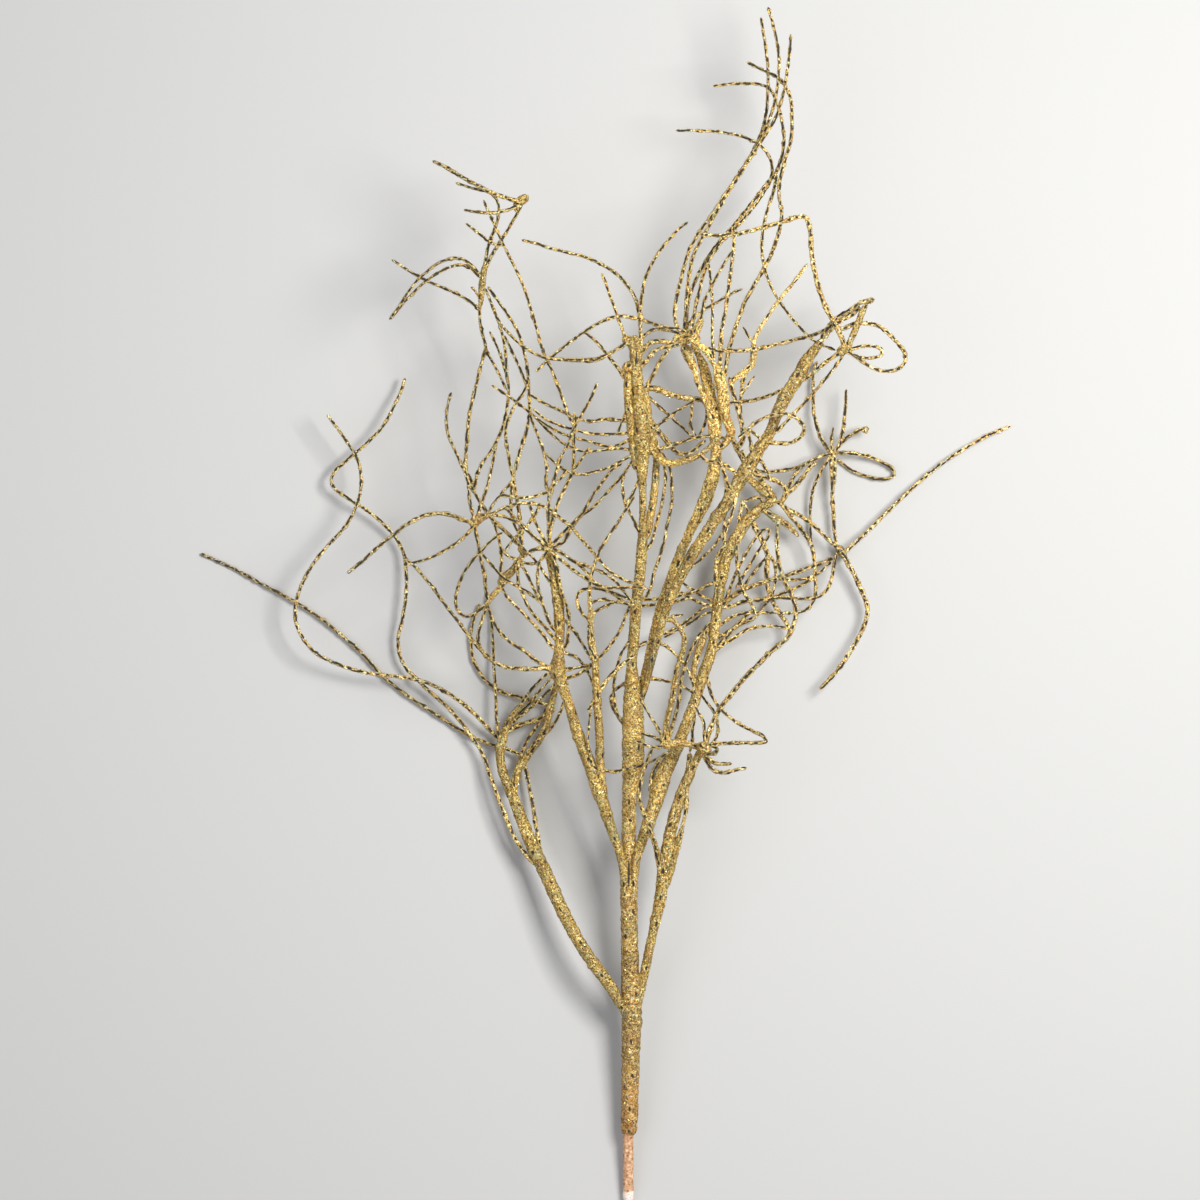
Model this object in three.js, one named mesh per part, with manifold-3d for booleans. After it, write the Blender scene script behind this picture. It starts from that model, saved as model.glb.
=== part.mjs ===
// A decorative spray of curly willow: a wrapped stem that carries six wrapped branches of fine,
// curling twigs. The spray lies on a surface with its front up, on three low points: the foot of
// its stem and the ends of two outer twigs. Millimetres, +Y along the stem to the tips, +Z up.
import * as THREE from 'three';
import Module from 'manifold-3d';

const wasm = await Module();
wasm.setup();

// ---- Driving dimensions -------------------------------------------------------------------
// The routes are laid out on a sheet whose columns run to the right and rows run to the foot.
const SHEET_STEP = 0.765;        // one column or row of the sheet
const SHEET_COLUMN = 606;        // column that lies on x = 0
const SHEET_ROW = 603.5;         // row that lies on y = 0

const TWIG_SIDES = 3;
const BRANCH_SIDES = 6;
const BRANCH_THICKNESS = 5;      // a route that gets thicker than this is a wrapped branch
const TIP_TAPER = 0.8;           // thickness of a twig's end, as a share of its root
const POINT_STEP = 6;            // spacing of the points that the routes are bent by
const THINNING = 0.75;           // how far a straight piece may run off its route

const CORE_THICKNESS = 8.5;      // bare wrapped end of the stem
const CORE_OUT = 48;             // how far the core stands out of the sheath
const CORE_DEPTH = 26;           // how far it reaches into it
const CORE_SIDES = 12;
const GAP = 0.35;                // running gap round a piece that stands in another
const SOCKET_LENGTH = 62;        // length of a branch's root that can lie in the stem
const FOOT_HEIGHT = CORE_THICKNESS / 2;   // middle of the core's cut end above the surface
const STEM_RISE = 0.125;         // rise of the stem for each millimetre along it

// How the twigs spread and curl in depth.
const ALONG_STEM = 45;           // a branch follows the stem's rise this far out of its root
const REACH = 150;               // length over which a slope dies out
const CURL_HEIGHT = 4;           // height of a twig's own waves
const CURL_LENGTH = [60, 110];   // shortest and longest wave
const CURL_START = 40;           // length over which the waves set in
const CURL_FULL = 90;            // a twig shorter than this has lower waves

// How branches are bent clear of each other.
const CLEARANCE = 1.8;           // what the routes of two branches keep between their skins
const WINDOW = 30;               // pieces further apart than this can't touch
const BRANCH_GIVE = 0.15;        // how readily a wrapped branch gives way, where a twig's is 1
const BEND_REACH = 32;           // how far to each side a bend runs out
const ROOT_FADE = 16;            // a twig bends freely from this far out of its root
const ROOT_DRAW = 45;            // how far a moved root draws its twig along
const ROUNDS = 200;
const SMOOTH_EVERY = 8;
const SMOOTH_UNTIL = 140;
const SURFACE_CLEARANCE = 2;     // what all but the resting tips keep to the surface
const TIP_REACH = 60;            // length of a resting tip that may come lower

// ---- Routes on the sheet, each from where it grows to its end ------------------------------
// wrapped() takes column, row and thickness; twig() takes a thickness and columns and rows.
const wrapped = (...stations) => stations;

function twig(thickness, places) {
  const count = places.length / 2;
  return Array.from({ length: count }, (_, i) => {
    const share = 1 - (1 - TIP_TAPER) * i / (count - 1);
    return [places[2 * i], places[2 * i + 1], thickness * share];
  });
}

// The two outer twigs whose ends touch the surface.
const FAR_LEFT_TWIG = twig(3.9, [543,860, 539,843, 536,824, 533,805, 530,789, 526.5,772, 522,758,
  511,750, 496,746, 480,740, 462,731, 445,720, 425,707, 400,690, 380,673, 362,653, 345,638, 322,619,
  296,602, 270,588, 248,576, 225,564, 200,553]);
const FAR_RIGHT_TWIG = twig(3.9, [845,552, 858,540, 872,527, 888,511, 906,494, 925,477, 945,461, 965,448,
  988,435, 1012,425]);
const RESTING = [FAR_LEFT_TWIG, FAR_RIGHT_TWIG];

const MAIN_STEM = [
  wrapped([628.5,1137,10.6], [629.6,1124,13], [630.3,1090,13.4], [631.3,1045,14.6], [632,1018,15.8],
    [631.6,998,16], [630.6,975,14.4], [630,950,13.4], [629.4,915,13.2], [629,885,13.4], [629.2,855,12],
    [629.3,820,11.2], [629.4,800,11], [631,780,13.2], [633.2,760,16.8], [633.4,720,16.8], [632.8,690,13.4],
    [632,664,8.4], [634,640,8.6], [636,610,8.8], [640,575,8.6], [642,550,8.6], [643,525,6.6], [643,500,5.6],
    [642.4,481,7], [642,466,10], [642,450,13.6], [641.4,435,14.4], [640.6,420,12.8], [639,405,11.6],
    [638,390,11], [636,365,9.8], [635,335,10.4]),
  twig(6.5, [646,540, 650,520, 653,503, 655,487, 656,472, 657,458, 654,442, 650,425, 648,405, 645,388]),
  wrapped([637,472,5.6], [635,455,7.4], [633,438,8], [630.6,420,7.4], [628.4,402,6.6], [628,387,6.6],
    [628.6,372,5]),
  twig(3.6, [647,552, 653,538, 657,522, 661,508, 664,493, 666,477, 664,463, 659,448, 655,432]),
  twig(3.6, [642,602, 648,594, 652,583, 655,570, 660,556, 664,542, 668,522, 672,503, 672,487, 671,472,
    667,460, 660,450]),
  twig(3.4, [641,536, 636,524, 631,514, 626,505, 623,492, 623,478, 627,468, 633,460]),
  twig(3.4, [627,504, 632,496, 636,486, 641,476]),
  // lumps of glue and tape
  wrapped([637,347,6], [629,341,8.4], [622,338,5]),
  wrapped([637,362,6], [629,367,9], [623,371,5.2]),
  wrapped([648,455,6], [652,446,7.6], [654,436,5]),
  // net to the left of the stem's top
  twig(3.6, [634,421, 620,420, 602,419, 593,421, 578,418, 560,410, 545,403, 530,394]),
  twig(3.4, [634,432, 624,433, 606,434, 590,433, 577,430, 560,425, 545,418, 533,408]),
  twig(3.4, [636,437, 628,440, 616,446, 603,445, 590,441, 577,438, 560,432, 540,420, 520,404, 503,392,
    492,385]),
  twig(3.4, [636,450, 618,448, 600,450, 585,451, 569,446, 558,439, 547,429, 534,415]),
  twig(3.4, [636,453, 624,459, 610,467, 596,471, 580,474, 566,470, 555,462, 545,452]),
  twig(3.2, [628,405, 625,415, 621,425, 618,433]),
  // sprigs of the stem's top
  twig(3.8, [640,372, 641,345, 640,320, 636,300, 628,286, 617,274, 603,265, 588,258, 570,253, 550,248,
    535,243, 522,240]),
  twig(3.6, [641,330, 641,305, 643,290, 646,277, 652,264, 659,252, 668,241, 678,230, 688,222]),
  twig(3.4, [631,352, 625,336, 620,322, 615,308, 609,292, 605,280, 602,273]),
  twig(3.6, [640,319, 622,316, 608,319, 592,327, 576,338, 560,350, 546,362, 536,372]),
  twig(3.6, [641,319, 652,323, 665,327, 678,329, 687,332]),
  twig(3.8, [630,380, 620,370, 612,360, 604,350, 597,342, 585,332]),
  twig(3, [629,385, 622,375, 617,367]),
  twig(3.4, [631,339, 621,347, 609,354, 596,358.5, 580,359.5, 562,359.5, 548,358, 536,354, 526,348, 516,340,
    508,332, 500,322, 494,308, 488,294]),
  twig(3.2, [630,341, 612,352, 598,360, 582,361, 565,360, 550,359]),
  twig(3.6, [640,341, 650,331, 660,329, 672,331, 682,334]),
  twig(5, [640,353, 652,342, 663,341, 674,343, 684,341]),
  twig(4.6, [641,369, 649,357, 656,350, 670,346, 682,344]),
  twig(4.4, [645,390, 653,375, 659,363, 668,350, 676,340]),
  // ties between the stem's top and the crown
  twig(5.2, [645,388, 657,388, 668,393, 680,396, 690,398, 703,399, 713,401]),
  twig(3.4, [647,394, 656,403, 671,416, 686,430, 696,439]),
  twig(3.4, [653,430, 664,420, 680,409, 695,400]),
  twig(4, [658,449, 675,444, 690,439, 705,436, 716,436, 725,438]),
  twig(4.8, [651,418, 655,426, 659,431, 666,440, 673,448, 684,454, 693,451, 699,445, 706,440]),
  wrapped([650,442,5], [655,452,6], [661,459.5,6], [669,463,6], [684,460.4,5.6], [697,456,5], [706,450,4.4],
    [714,442,4.2], [719,435,4]),
  twig(3.2, [657,428, 667,438, 673,445]),
  twig(3.2, [692,400, 692,412, 691,425, 697,437]),
  twig(3.2, [702,399, 707,408, 706,420, 701,432, 697,440]),
  // twigs along the stem
  twig(3.6, [629,730, 620,718, 613,707, 611,698, 615,690, 626,682, 633,677]),
  twig(3.4, [627,726, 617,712, 615,700, 614,685, 617,668, 622,652, 630,640]),
  twig(3.4, [634,650, 645,642, 656,642, 665,645, 676,654, 684,663, 690,674, 694,688, 696,702]),
  twig(3.4, [640,677, 658,679, 674,682, 690,690, 700,697]),
];

const LOWER_LEFT = [
  wrapped([626,1016,6], [619,1001,8.2], [610.5,986,9.4], [597,967.5,9.8], [584,949,9.8], [572.5,929.5,10],
    [562,909,10.4], [552.5,888,10.8], [542.5,866,10.8], [533,847,10.4], [523.5,824,10], [516,804,9.4],
    [509,787,8.4], [503,772,7.6], [500.5,758,7.4], [501,745,8.4], [506,728,6.6], [513,715,6], [521,705,5]),
  wrapped([513,795,6.2], [517,775,7], [520.5,764,7.4], [529.5,753.5,6.2], [536,744.5,6.2], [545,728,6.2],
    [549,713,6.4], [553,698,5.6], [556,686,5]),
  twig(3.4, [516,711, 532,689, 543,677, 551,671, 559,666]),
  twig(3.4, [510,720, 528,704, 542,688, 551,678, 559,670]),
  twig(3.6, [510,724, 531,707, 544,695, 552,687, 559,679]),
  twig(5, [504,733, 514,727, 525,723, 536,720, 546,715, 555,708]),
  twig(3.6, [523,760, 532,746, 547,732, 557,719, 563,705, 566,692, 567,682]),
  twig(3.6, [518,763, 529,737, 541,720, 547,706]),
  twig(3.8, [549,705, 532,700, 512,695, 497,689, 484,678, 474,661, 471,645, 471,630, 476,613, 480,603]),
  twig(3.4, [501,748, 497,722, 496,698, 494,665, 493,640, 491,618, 488,604, 487,594]),
  // three long twigs that sweep out to the left
  FAR_LEFT_TWIG,
  twig(3.9, [506,750, 497,737, 486,725, 470,709, 450,694, 425,681.5, 400,676.5, 387,675, 368,672.5,
    353,669, 335,662.5, 315,652, 303,638, 296,622, 295,608, 300,588, 310,568, 325,548, 341,531, 347,523,
    354,511, 360,493, 361,476, 357,457, 350,446, 340,431, 327,414]),
  twig(3.9, [545,872, 530,859, 519,844, 510,827, 501,804, 492,780, 482,752, 470,734, 458,718, 446,705,
    432,693, 418,680,
    402,661, 398,640, 402,620, 406,595, 406,570, 402,548, 388,528, 370,512, 350,499, 333,486, 332,475,
    345,461, 365,444, 383,425, 394,405, 401,390, 405,377]),
];

const UPPER_LEFT = [
  wrapped([625,892,4], [624.2,878,6], [623,863,7.4], [619.5,850,7], [616.2,841,7.2], [609,821,8.6],
    [604,804,9.6], [599,791,11], [593,772,10.4], [587,756,10], [577,730,9], [569,703,8], [562,684,9],
    [558,670,13.2], [559,656,9.4], [560,640,8], [559.5,618,8.8], [558.5,603,9.2], [556,583,9],
    [552,562,8.2], [549,548,8.6]),
  wrapped([606,803,5], [603,786,6.2], [600.5,765,6.8], [600,740,6.6], [598.5,715,6.8], [597,695,6.8],
    [596,675,6.2], [595.5,660,5.4], [593,643,4.8], [591,622,5.2], [591,612,4.4], [590,600,3.8],
    [590,588,3.6]),
  twig(3.8, [564,652, 567,643, 569,628, 569,617, 566,603, 562,592, 559,575, 556,562, 551,552]),
  // knot at the top of the branch
  twig(4.2, [549,550, 538,548, 529,552, 519,561]),
  twig(3.8, [549,548, 549,520, 549,500, 552,487, 561,478, 567,469]),
  twig(3.8, [549,545, 551,528, 555,513, 560,498, 567,484, 573,470, 574,455, 574,440, 575,425, 575,412]),
  twig(3.6, [550,500, 553,485, 557,470, 562,455, 569,443, 573,430, 580,418, 590,400, 598,382]),
  twig(3.2, [573,472, 579,463, 585,454, 591,446]),
  twig(3.6, [551,548, 563,542, 571,530, 577,520, 584,513, 592,508, 602,498, 613,486, 620,478, 629,468]),
  twig(3.6, [550,546, 558,538, 566,530, 574,522, 583,512, 589,502, 595,492, 603,481, 612,470, 622,463]),
  twig(3.6, [548,507, 556,514, 571,526, 584,541, 597,556, 608,569, 620,577, 634,583, 646,586]),
  twig(3.6, [551,549, 560,551, 571,559, 580,563, 594,568, 606,573, 617,582, 625,592, 635,604]),
  twig(3.6, [551,552, 561,559, 573,569, 583,576, 594,583, 606,587, 620,587, 634,587, 648,588]),
  twig(3.4, [577,562, 586,571, 594,581, 604,587, 614,594, 622,600, 633,606]),
  twig(3.4, [548,493, 546,480, 547,467, 544,452, 539,437, 534,425, 530,413]),
  twig(3.6, [549,492, 541,494, 530,497, 515,497, 503,495, 497,499, 490,510, 488,515]),
  twig(3.6, [549,508, 533,503, 520,503, 508,506, 497,511, 488,515]),
  twig(3.4, [549,546, 541,533, 534,517, 529,502]),
  // knot at the left and the twigs between
  twig(4.2, [519,560, 523,549, 518,543, 507,532, 494,520, 488,513, 480,500, 472,487, 467,474]),
  wrapped([489,515,5], [482,517,6.8], [476,521,8.6], [472,527,5.4]),
  wrapped([519,546,4.6], [523,550,6.6], [527,554,4.6]),
  wrapped([500,578,4.6], [502,582,7], [500,586,4.6]),
  twig(3.4, [519,560, 510,556, 502,549, 499,537, 496,528, 491,517]),
  twig(3.2, [520,562, 530,563, 539,562, 546,554]),
  twig(3.6, [558,642, 545,626, 531,610, 523,594, 519,583, 518,572, 519,562]),
  twig(3.6, [557,652, 540,630, 520,609, 508,597, 502,586]),
  twig(3.6, [557,634, 549,620, 543,604, 535,590, 526,571, 520,562]),
  twig(3.4, [541,602, 530,593, 518,586, 506,579, 497,570, 488,560, 481,551]),
  twig(3.4, [543,604, 539,590, 538,577, 539,566, 543,556, 549,550]),
  twig(3.2, [552,585, 545,573, 538,563, 529,553, 522,548]),
  wrapped([521,557,4.6], [518,563,6.8], [511,573,5.4], [503,584,4.8], [495,593,4.8], [486,604,5.2]),
  twig(3.6, [486,604, 477,612, 467,616, 459,611, 456,600, 458,588, 464,573, 473,560, 481,551, 492,540,
    503,532]),
  twig(4, [489,600, 486,588, 485,574, 481.5,560, 479,545, 476,531, 475,520]),
  twig(3.6, [501,588, 501,570, 502,555, 500,545]),
  twig(4.2, [522,549, 521,530, 519,510, 516,493, 513,476]),
  twig(3.4, [513,480, 507,487, 500,495]),
  twig(3.4, [513,482, 511,500, 513,520, 521,536]),
  twig(3.4, [541,504, 533,518, 524,529, 513,540, 505,551]),
  twig(3.6, [505,506, 513,515, 521,524, 531,533, 541,541, 549,547]),
  twig(3.4, [522,522, 530,532, 539,541, 547,547]),
  twig(3.6, [489,515, 500,515, 511,519, 521,524]),
  twig(3.6, [476,524, 463,538, 447,549, 429,558, 408,564]),
  twig(4.2, [475,524, 463,519, 450,514, 436,513, 420,517, 406,525, 394,534.5, 381,544.5, 364,560, 348,573]),
  twig(3.6, [475,520, 470,500, 469,483, 462,464, 454,447, 448,432, 447,416, 449,402, 452,392]),
  twig(3.4, [474,490, 478,473, 484,461, 492,450, 500,434, 505,420, 508,402, 509,386, 505,368, 499,350,
    490,331]),
  twig(3.6, [477,518, 482,503, 487,488, 491,472, 494,458, 497,443]),
  twig(3.4, [513,476, 509,455, 506,430, 511,414, 517,402, 524,392, 529,380]),
  twig(3.6, [514,477, 519,456, 524,440, 528,425, 530,408, 529,390, 528,370, 524,350, 519,333, 510,317,
    500,303, 488,286]),
  twig(3.2, [478,490, 472,480, 468,472]),
  // tall sprig at the upper left
  twig(3.8, [467,475, 466,462, 467,445, 468,430, 470,412, 474,395, 479,375, 483,358, 486,347, 484,338,
    481,325, 480,310, 482,295, 484,278]),
  wrapped([481,306,3.6], [482,290,5.6], [484,272,5.4], [488,258,3.8]),
  twig(3.6, [485,270, 495,250, 505,235, 514,220, 523,204]),
  wrapped([511,209,4.4], [518,204,6.4], [524,199,8], [529,196,5.6]),
  twig(4.3, [523,203, 513,200, 495,194, 475,184, 460,176, 447,168, 433,161]),
  twig(3.6, [522,205, 516,207, 505,211, 490,213, 475,212, 464,210]),
  twig(3.4, [485,268, 489,245, 498,220, 499,205, 492,194, 475,189, 456,183]),
  twig(3.4, [575,426, 570,417, 562,396, 553,372, 543,350, 537,328, 532,312, 527,295, 519,275, 511,259,
    503,243, 495,225, 488,210, 484,200]),
  twig(3.4, [503,246, 492,243, 480,234, 466,223]),
  twig(3.4, [484,280, 477,271, 467,261, 456,258, 441,262, 427,272, 414,285, 401,304, 390,320]),
  twig(3.4, [482,280, 472,268, 457,265, 440,272, 424,283, 405,302, 392,318]),
  twig(3.4, [482,311, 470,301, 452,291, 435,284, 415,274, 392,259]),
  twig(3, [482,303, 478,294, 471,286]),
  twig(3.2, [484,347, 492,360, 500,375, 507,390]),
  twig(3.2, [508,384, 505,345, 500,325, 492,305, 486,288]),
  twig(3.2, [529,390, 521,370, 512,350, 505,335]),
  // right-hand arm of the branch
  twig(4, [595,662, 591,648, 589,636, 589,624]),
  twig(3.6, [590,590, 591,578, 594,566, 600,550, 606,540, 614,528, 622,516, 628,506, 635,496]),
  twig(3.4, [588,621, 583,613, 579,606, 577,598, 580,591, 588,588, 597,588, 606,590, 614,592,
    623,596, 634,600]),
  twig(3.6, [590,621, 593,614, 599,609, 607,605, 616,601, 626,602, 637,604]),
  twig(3.4, [590,603, 597,600, 605,599, 613,601, 622,602, 632,605]),
  twig(3.4, [563,653, 574,655, 581,661, 587,669, 592,680, 596,690]),
  twig(3.4, [561,669, 578,667, 594,663]),
  twig(3.8, [562,678, 575,675, 586,669, 596,661, 606,650, 614,640, 621,628, 626,615, 632,600]),
  twig(3.4, [560,615, 571,626, 578,636, 585,647, 592.5,660]),
  twig(4.6, [598,694, 604,684, 611,675, 618,668, 626,661, 635,655]),
  twig(4, [597,697, 592,703.5, 588,711]),
  twig(3, [600,772, 594,765, 590,752, 588,738, 590,718, 591,703]),
  twig(3.6, [601,768, 612,771, 628,768, 645,763, 658,758, 669,751]),
  // bundle to the left of the thick knot
  twig(4.2, [556,668, 540,668, 520,668, 505,666, 490,658, 480,646, 479,632, 484,616, 487,604]),
  twig(3.8, [555,669, 538,661, 524,650, 510,641, 496,625, 488,605]),
  twig(3.8, [493,660, 480,648, 470,636, 458,620, 444,602, 432,585, 418,569, 405,556]),
];

const CROWN = [
  wrapped([637,706,4.6], [641,690,5.4], [647,664,6], [652,640,6], [657,620,6.6], [662,603,7.4],
    [668,588,8], [673,573,8], [679,557,8.2], [688,536,7.6], [697,517,9], [704.2,502,10.6],
    [710.6,484,11.2], [715.2,466,10.2], [716,448,8.6], [713.5,430,8.6], [711.5,415,7.4], [706.5,401,5],
    [701,390,4.2], [697.6,382,4.2], [695.6,372,5], [691.6,362,7.2], [688.4,354,8.6], [683.5,344,8.4]),
  wrapped([716,446,5], [717,425,7.8], [714.5,408,9], [711.5,397,9], [709.4,390,9.4], [707.4,382,9.6],
    [705.6,372,8.8], [702.2,362,7.4], [698.6,354,5], [692,343,5]),
  wrapped([719,450,5], [731,433,7.2], [725.5,415,8], [723.4,396,9.4], [720.6,380,10.2], [718.4,371,8.6],
    [715.8,366,5.2], [711.8,360,4.4], [707,351,6.4], [699,345,5.8], [690,338,5]),
  wrapped([673,343,5.4], [681,338,11], [691,336,11], [700,341,5.4]),
  wrapped([692,336,6], [698,327,7], [702,317,4.4]),
  twig(5, [726,420, 731,433, 738,450, 746,464, 755,477]),
  twig(5, [738,448, 744,436, 741,420, 738,407, 732,388, 729.5,376]),
  twig(3.8, [660,617, 672,616, 684,614]),
  // tallest twigs
  twig(3.7, [682,340, 676,323, 675,308, 680,284, 688,254, 697,236, 712,214, 728,190, 748,160, 765,130,
    774,105, 778,82, 779,58, 775,32, 768,7]),
  twig(3.7, [684,340, 686,312, 688,285, 694,254, 704,235, 720,206, 738,176, 757,143, 765,120, 768,92,
    768,68, 765,42, 761,17]),
  twig(3.6, [729,189, 745,166, 760,143, 776,117, 783,95, 787,73, 790,47, 791,34]),
  twig(3.6, [686,340, 689,299, 698,275, 713,250, 739,219, 764,187, 776,172, 783,152, 784,135, 780,112,
    773,93, 766,86, 745,83, 728,84, 713,86]),
  twig(3.6, [690,340, 694,315, 699,293, 705,270, 715,250, 741,222, 762,195, 772,175, 771,160, 762,146,
    748,138, 735,134, 715,131, 695,130, 676,130]),
  twig(4, [725,380, 728,354, 736,327, 745,302, 759,277, 770,257, 778,235, 782,215, 779,190, 785,160,
    791,140, 792,120, 790,96, 781,80, 765,71, 747,62]),
  twig(3.4, [777,171, 774,190, 769,205, 764,225, 762,250, 768,278, 779,300, 800,327, 815,341, 836,350]),
  twig(4.2, [719.5,376, 720.5,360, 721,345, 721.6,332, 726,308, 731,270, 734,245, 733,226]),
  twig(3.4, [714,362, 713,345, 712.6,330, 712.4,300, 709,263]),
  twig(3.4, [691,338, 700,322, 705,300, 716,278, 725,262, 733,250]),
  twig(3.4, [686,326, 700,312, 715,303, 730,294, 743,288]),
  wrapped([728,384,4.4], [742,373,5], [752,364,5.4], [754,350,5.4], [754,342,4], [761,327,3.4],
    [779,300,3.4], [793,283,3.2], [808,263,3]),
  twig(3.2, [754,343, 749,336, 743,326]),
  twig(4, [700,347, 722,350, 743,350, 760,348, 780,343, 800,338, 820,332, 836,322, 848,315, 860,305]),
  twig(4, [747,370, 743,383, 741,399, 741,415]),
  twig(2.8, [742,395, 748,385, 755,375]),
  twig(4, [726,402, 745,401, 760,398, 772,394, 785,388]),
];

const UPPER_RIGHT = [
  wrapped([642,702,4.4], [646,686,5], [651,665,5.6], [657,642,5.8], [663,620,6.4], [669,602,7.2],
    [677,584,8], [684,570,8.6], [692.3,554.6,9.4], [702.3,539.6,9.6], [712.3,523.6,9.8], [722,510,10.2],
    [731,496,10.4], [739,481,11], [746,470,12.4], [754,458,10.8], [760,447,10.4], [767,438,9.2],
    [773,424,8.8], [778,411,9.6], [784.4,398.3,11], [790.8,387.4,10.6], [799,374.6,11.2], [806,361,9.8],
    [814,350,8.2], [822,340,5]),
  twig(4.4, [820,342, 830,325, 838,317, 850,310, 860,303, 868,300, 874,299]),
  twig(4.2, [822,342, 832,327, 840,321, 852,315, 860,307]),
  wrapped([866,302,3.6], [870,300.5,5.4], [874,299,4.6]),
  twig(3.6, [770,436, 779,429, 792,415, 807,400, 820,385, 834,368, 845,352]),
  wrapped([844,354,4.4], [850,341,5.2], [856,328,5.6], [860.5,316,5.4], [864.5,307,4.8], [867,303,3.6]),
  wrapped([836,353,5], [841,350.5,7.2], [847,348,7], [851,345,4.6]),
  twig(4.4, [799,383, 815,371, 829,359.5, 843,351]),
  twig(4.2, [838,333, 850,325, 862,323, 876,325, 889,334, 898,344, 905,354, 904,363, 897,369, 885,371,
    873,368, 861,361, 852,354, 844,352]),
  twig(3.6, [845,352, 858,347, 870,346, 881,349, 883,353, 876,357, 864,358, 852,354]),
  twig(4.8, [846,350, 838,330, 830,316, 821,296, 814,270, 811,250, 809,226, 804,217, 790,220, 770,226,
    748,232, 722,236, 700,235]),
  twig(4, [764,442, 780,443, 792,442, 802,435, 804,427, 797,418, 785,414, 772,415, 758,421, 748,429,
    738,438]),
  twig(3.6, [748,429, 754,433, 761,440]),
  twig(4, [732,494, 726,480, 722,466, 717,456]),
  twig(4.4, [741,477, 730,468, 718,462, 706,460, 700,454]),
  twig(4, [748,468, 752,452, 750,440, 748,430]),
  twig(3.8, [756,455, 762,462, 767,472, 771,482]),
  twig(4, [738,482, 735,500, 731,516, 726,530, 723,541]),
];

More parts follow.
